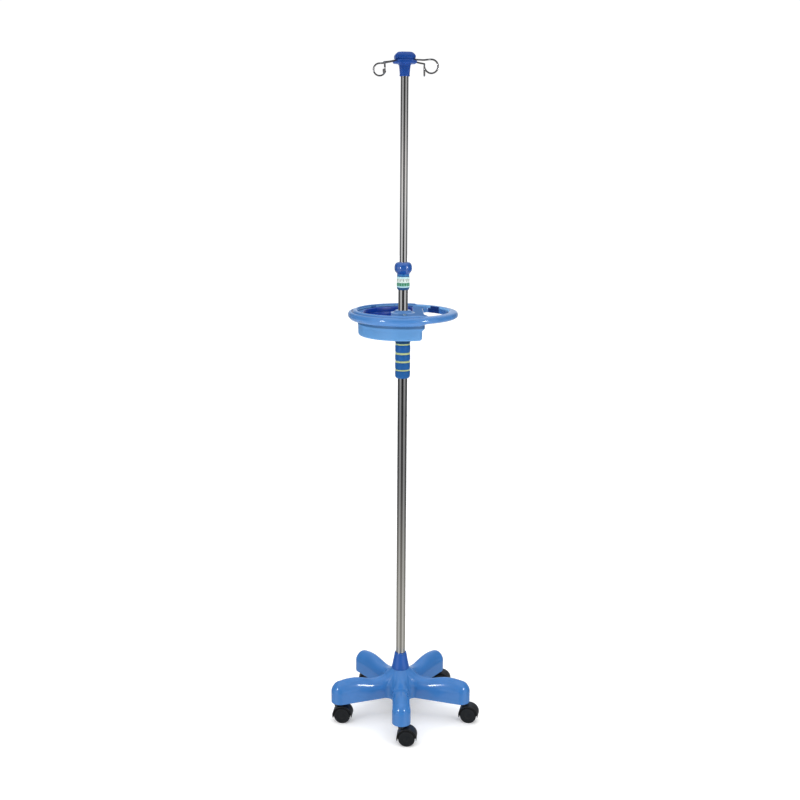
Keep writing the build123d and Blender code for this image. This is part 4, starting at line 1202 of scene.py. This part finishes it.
def hook_path(k, LOOP_R, LOOP_Z, fall, pos, twist):
    def arm_z(r):
        return 1964.6 - fall * (r - 14.0)
    az, laz = HOOK_AZ + 90 * k, LOOP_AZ + twist + 90 * k
    e, up = vec(laz, 1.0, 0.0), Vector((0, 0, 1))
    c = vec(az, pos, LOOP_Z)
    p0, p1 = vec(az, 11.2, arm_z(11.2)), vec(az, 62.0, arm_z(62.0))
    top = c + up * LOOP_R
    pts = [p0.lerp(p1, i / 16) for i in range(16)]
    d = (p1 - p0).normalized()
    chord = (top - p1).length
    for i in range(18):
        t = i / 18
        a = (2 * t ** 3 - 3 * t ** 2 + 1) * p1 + (t ** 3 - 2 * t ** 2 + t) * d * chord
        b = (-2 * t ** 3 + 3 * t ** 2) * top + (t ** 3 - t ** 2) * e * chord
        pts.append(a + b)
    for i in range(65):
        t = math.radians(254 * i / 64)
        pts.append(c + e * (LOOP_R * math.sin(t)) + up * (LOOP_R * math.cos(t)))
    return pts


for k, (name, *bent) in enumerate(HOOKS):
    m = Mesh()
    sweep(m, hook_path(k, *bent), WIRE)
    m.put(name + "_wire", M_wire, "mast", sharp=40, replaces=(name,), slot="wire_steel", weld=0.0)

# =====================================================================
# camera, floor and light
# =====================================================================
scene = bpy.context.scene
PITCH, ROLL, PAN, PSI = 0.21672, 0.00672, -0.00213, 0.01875
Z = Vector((0, 0, 1))
right = Vector((math.cos(PAN), -math.sin(PAN), 0))
level = Vector((math.sin(PAN), math.cos(PAN), 0))
look = level * math.cos(PITCH) - Z * math.sin(PITCH)
up = level * math.sin(PITCH) + Z * math.cos(PITCH)
right, up = right * math.cos(ROLL) + up * math.sin(ROLL), up * math.cos(ROLL) - right * math.sin(ROLL)
turn = Matrix.Rotation(-PSI, 3, "Z")
right, up, look = turn @ right, turn @ up, turn @ look
cam = bpy.data.objects.new("camera", bpy.data.cameras.new("camera"))
scene.collection.objects.link(cam)
basis = Matrix((right, up, -look)).transposed().to_4x4()
basis.translation = Vector((-0.06076, -3.23994, 1.71230))
cam.matrix_world = basis
cam.data.sensor_width = 36.0
cam.data.lens = 50.541
cam.data.clip_end = 60.0
scene.camera = cam

floor_me = bpy.data.meshes.new("floor")
s = 8.0
floor_me.from_pydata([(-s, -s, 0), (s, -s, 0), (s, s * 2, 0), (-s, s * 2, 0)], [], [(0, 1, 2, 3)])
floor = bpy.data.objects.new("floor", floor_me)
scene.collection.objects.link(floor)
fm, nt, bs = new_mat("pale_floor")
tc = add(nt, "ShaderNodeTexCoord")
no = add(nt, "ShaderNodeTexNoise", inputs={"Scale": 1.2, "Detail": 3.0})
nt.links.new(tc.outputs["Object"], no.inputs["Vector"])
cr = ramp(nt, [(0.3, (0.90, 0.90, 0.90)), (0.7, (0.92, 0.92, 0.92))])
nt.links.new(no.outputs["Fac"], cr.inputs["Fac"])
nt.links.new(cr.outputs["Color"], bs.inputs["Base Color"])
bs.inputs["Roughness"].default_value = 0.8
bs.inputs["Specular IOR Level"].default_value = 0.1
bs.inputs["Emission Color"].default_value = (1, 1, 1, 1)
bs.inputs["Emission Strength"].default_value = 0.22
floor_me.materials.append(fm)
floor.visible_glossy = False

world = bpy.data.worlds.new("studio")
scene.world = world
world.use_nodes = True
nt = world.node_tree
for n in list(nt.nodes):
    nt.nodes.remove(n)
link = nt.links.new
out = add(nt, "ShaderNodeOutputWorld")
path = add(nt, "ShaderNodeLightPath")
tc = add(nt, "ShaderNodeTexCoord")
sep = add(nt, "ShaderNodeSeparateXYZ")
link(tc.outputs["Generated"], sep.inputs[0])
neg = add(nt, "ShaderNodeMath", operation="MULTIPLY")
neg.inputs[1].default_value = -1.0
link(sep.outputs["Y"], neg.inputs[0])
az = add(nt, "ShaderNodeMath", operation="ARCTAN2")
link(sep.outputs["X"], az.inputs[0])
link(neg.outputs[0], az.inputs[1])
ab = add(nt, "ShaderNodeMath", operation="ABSOLUTE")
link(az.outputs[0], ab.inputs[0])
deg = add(nt, "ShaderNodeMath", operation="MULTIPLY")
deg.inputs[1].default_value = 1.0 / math.pi
link(ab.outputs[0], deg.inputs[0])


def tone(stops):
    """A grey level by height above the horizon; the stops are (degrees, level)."""
    return ramp(nt, [((math.sin(math.radians(d)) + 1) / 2, (v,) * 3 if isinstance(v, (int, float)) else v) for d, v in stops])


height = add(nt, "ShaderNodeMath", operation="MULTIPLY_ADD")
height.inputs[1].default_value = 0.5
height.inputs[2].default_value = 0.5
link(sep.outputs["Z"], height.inputs[0])
# what polished parts see: a dim room, two tall soft boxes either side of the camera, a pale floor near the feet
dim = tone([(-40, (0.42, 0.40, 0.36)), (-23, (0.33, 0.32, 0.28)), (-20, (0.20, 0.19, 0.17)), (-17, 0.07), (-12, 0.022), (-6, 0.022), (-3, 0.12), (-1, 0.16), (2, 0.05), (20, 0.05), (50, 0.35), (75, 0.9)])
bright = tone([(-40, (0.85, 0.83, 0.78)), (-23, (0.72, 0.70, 0.65)), (-20, (0.56, 0.55, 0.52)), (-17, 0.38), (-12, 0.34), (-9, 0.6), (-6, 0.8), (-3, 1.0), (-1.5, (1.15, 1.10, 1.06)), (2, 0.56), (8, 0.46), (60, 0.6)])
link(height.outputs[0], dim.inputs["Fac"])
link(height.outputs[0], bright.inputs["Fac"])
where = ramp(nt, [(0.0, (0.0,) * 3), (0.13, (0.0,) * 3), (0.175, (1.0,) * 3), (0.30, (1.0,) * 3), (0.40, (0.8,) * 3), (0.47, (0.0,) * 3), (0.62, (0.12,) * 3), (0.84, (0.2,) * 3), (1.0, (0.2,) * 3)])
link(deg.outputs[0], where.inputs["Fac"])
panel = add(nt, "ShaderNodeMix", data_type="RGBA")
link(where.outputs["Color"], panel.inputs["Factor"])
link(dim.outputs["Color"], panel.inputs["A"])
link(bright.outputs["Color"], panel.inputs["B"])
# faces seen edge-on pick up the pale, slightly cool backdrop behind
behind = ramp(nt, [(0.0, (0.0,) * 3), (0.80, (0.0,) * 3), (1.0, (0.85,) * 3)])
link(deg.outputs[0], behind.inputs["Fac"])
backdrop = add(nt, "ShaderNodeMix", data_type="RGBA")
link(behind.outputs["Color"], backdrop.inputs["Factor"])
link(panel.outputs["Result"], backdrop.inputs["A"])
backdrop.inputs["B"].default_value = (0.60, 0.72, 0.92, 1.0)
# soft light from a large overhead box and a little from all round
amb = ramp(nt, [(0.0, (0.25,) * 3), (0.5, (0.22,) * 3), (0.70, (0.30,) * 3), (0.88, (1.35,) * 3), (1.0, (1.9,) * 3)])
link(height.outputs[0], amb.inputs["Fac"])
b_cam = add(nt, "ShaderNodeBackground")
b_cam.inputs["Color"].default_value = (1, 1, 1, 1)
b_cam.inputs["Strength"].default_value = 1.05
b_dif = add(nt, "ShaderNodeBackground")
link(amb.outputs["Color"], b_dif.inputs["Color"])
b_gls = add(nt, "ShaderNodeBackground")
link(backdrop.outputs["Result"], b_gls.inputs["Color"])
m1 = add(nt, "ShaderNodeMixShader")
link(path.outputs["Is Glossy Ray"], m1.inputs[0])
link(b_dif.outputs[0], m1.inputs[1])
link(b_gls.outputs[0], m1.inputs[2])
m2 = add(nt, "ShaderNodeMixShader")
link(path.outputs["Is Camera Ray"], m2.inputs[0])
link(m1.outputs[0], m2.inputs[1])
link(b_cam.outputs[0], m2.inputs[2])
link(m2.outputs[0], out.inputs["Surface"])

for sx in (-1, 1):
    for kind, wide, high, level, z in (("soft_box", 0.45, 0.55, 12.6, 1.15), ("shine", 0.62, 0.62, 23.0, 1.55)):
        a = math.radians(44 * sx)
        lamp = bpy.data.lights.new(kind, "AREA")
        lamp.shape = "RECTANGLE" if kind == "soft_box" else "DISK"
        lamp.size, lamp.size_y = wide, high
        lamp.energy = level
        ob = bpy.data.objects.new(kind + ("_left" if sx < 0 else "_right"), lamp)
        scene.collection.objects.link(ob)
        loc = Vector((2.8 * math.sin(a), -2.8 * math.cos(a), z))
        ob.location = loc
        ob.rotation_euler = (Vector((0, 0, 1.0)) - loc).to_track_quat("-Z", "Y").to_euler()
        if kind == "soft_box":
            ob.visible_glossy = False
        else:
            ob.visible_diffuse = False
        lit = bpy.data.collections.new(ob.name + "_lights")
        for n in ("lower_pole", "mast_pole"):
            lit.objects.link(bpy.data.objects[n])
        ob.light_linking.receiver_collection = lit
        for c in lit.collection_objects:
            c.light_linking.link_state = "EXCLUDE"

scene.view_settings.view_transform = "Standard"
scene.view_settings.look = "None"
scene.view_settings.exposure = 0.0
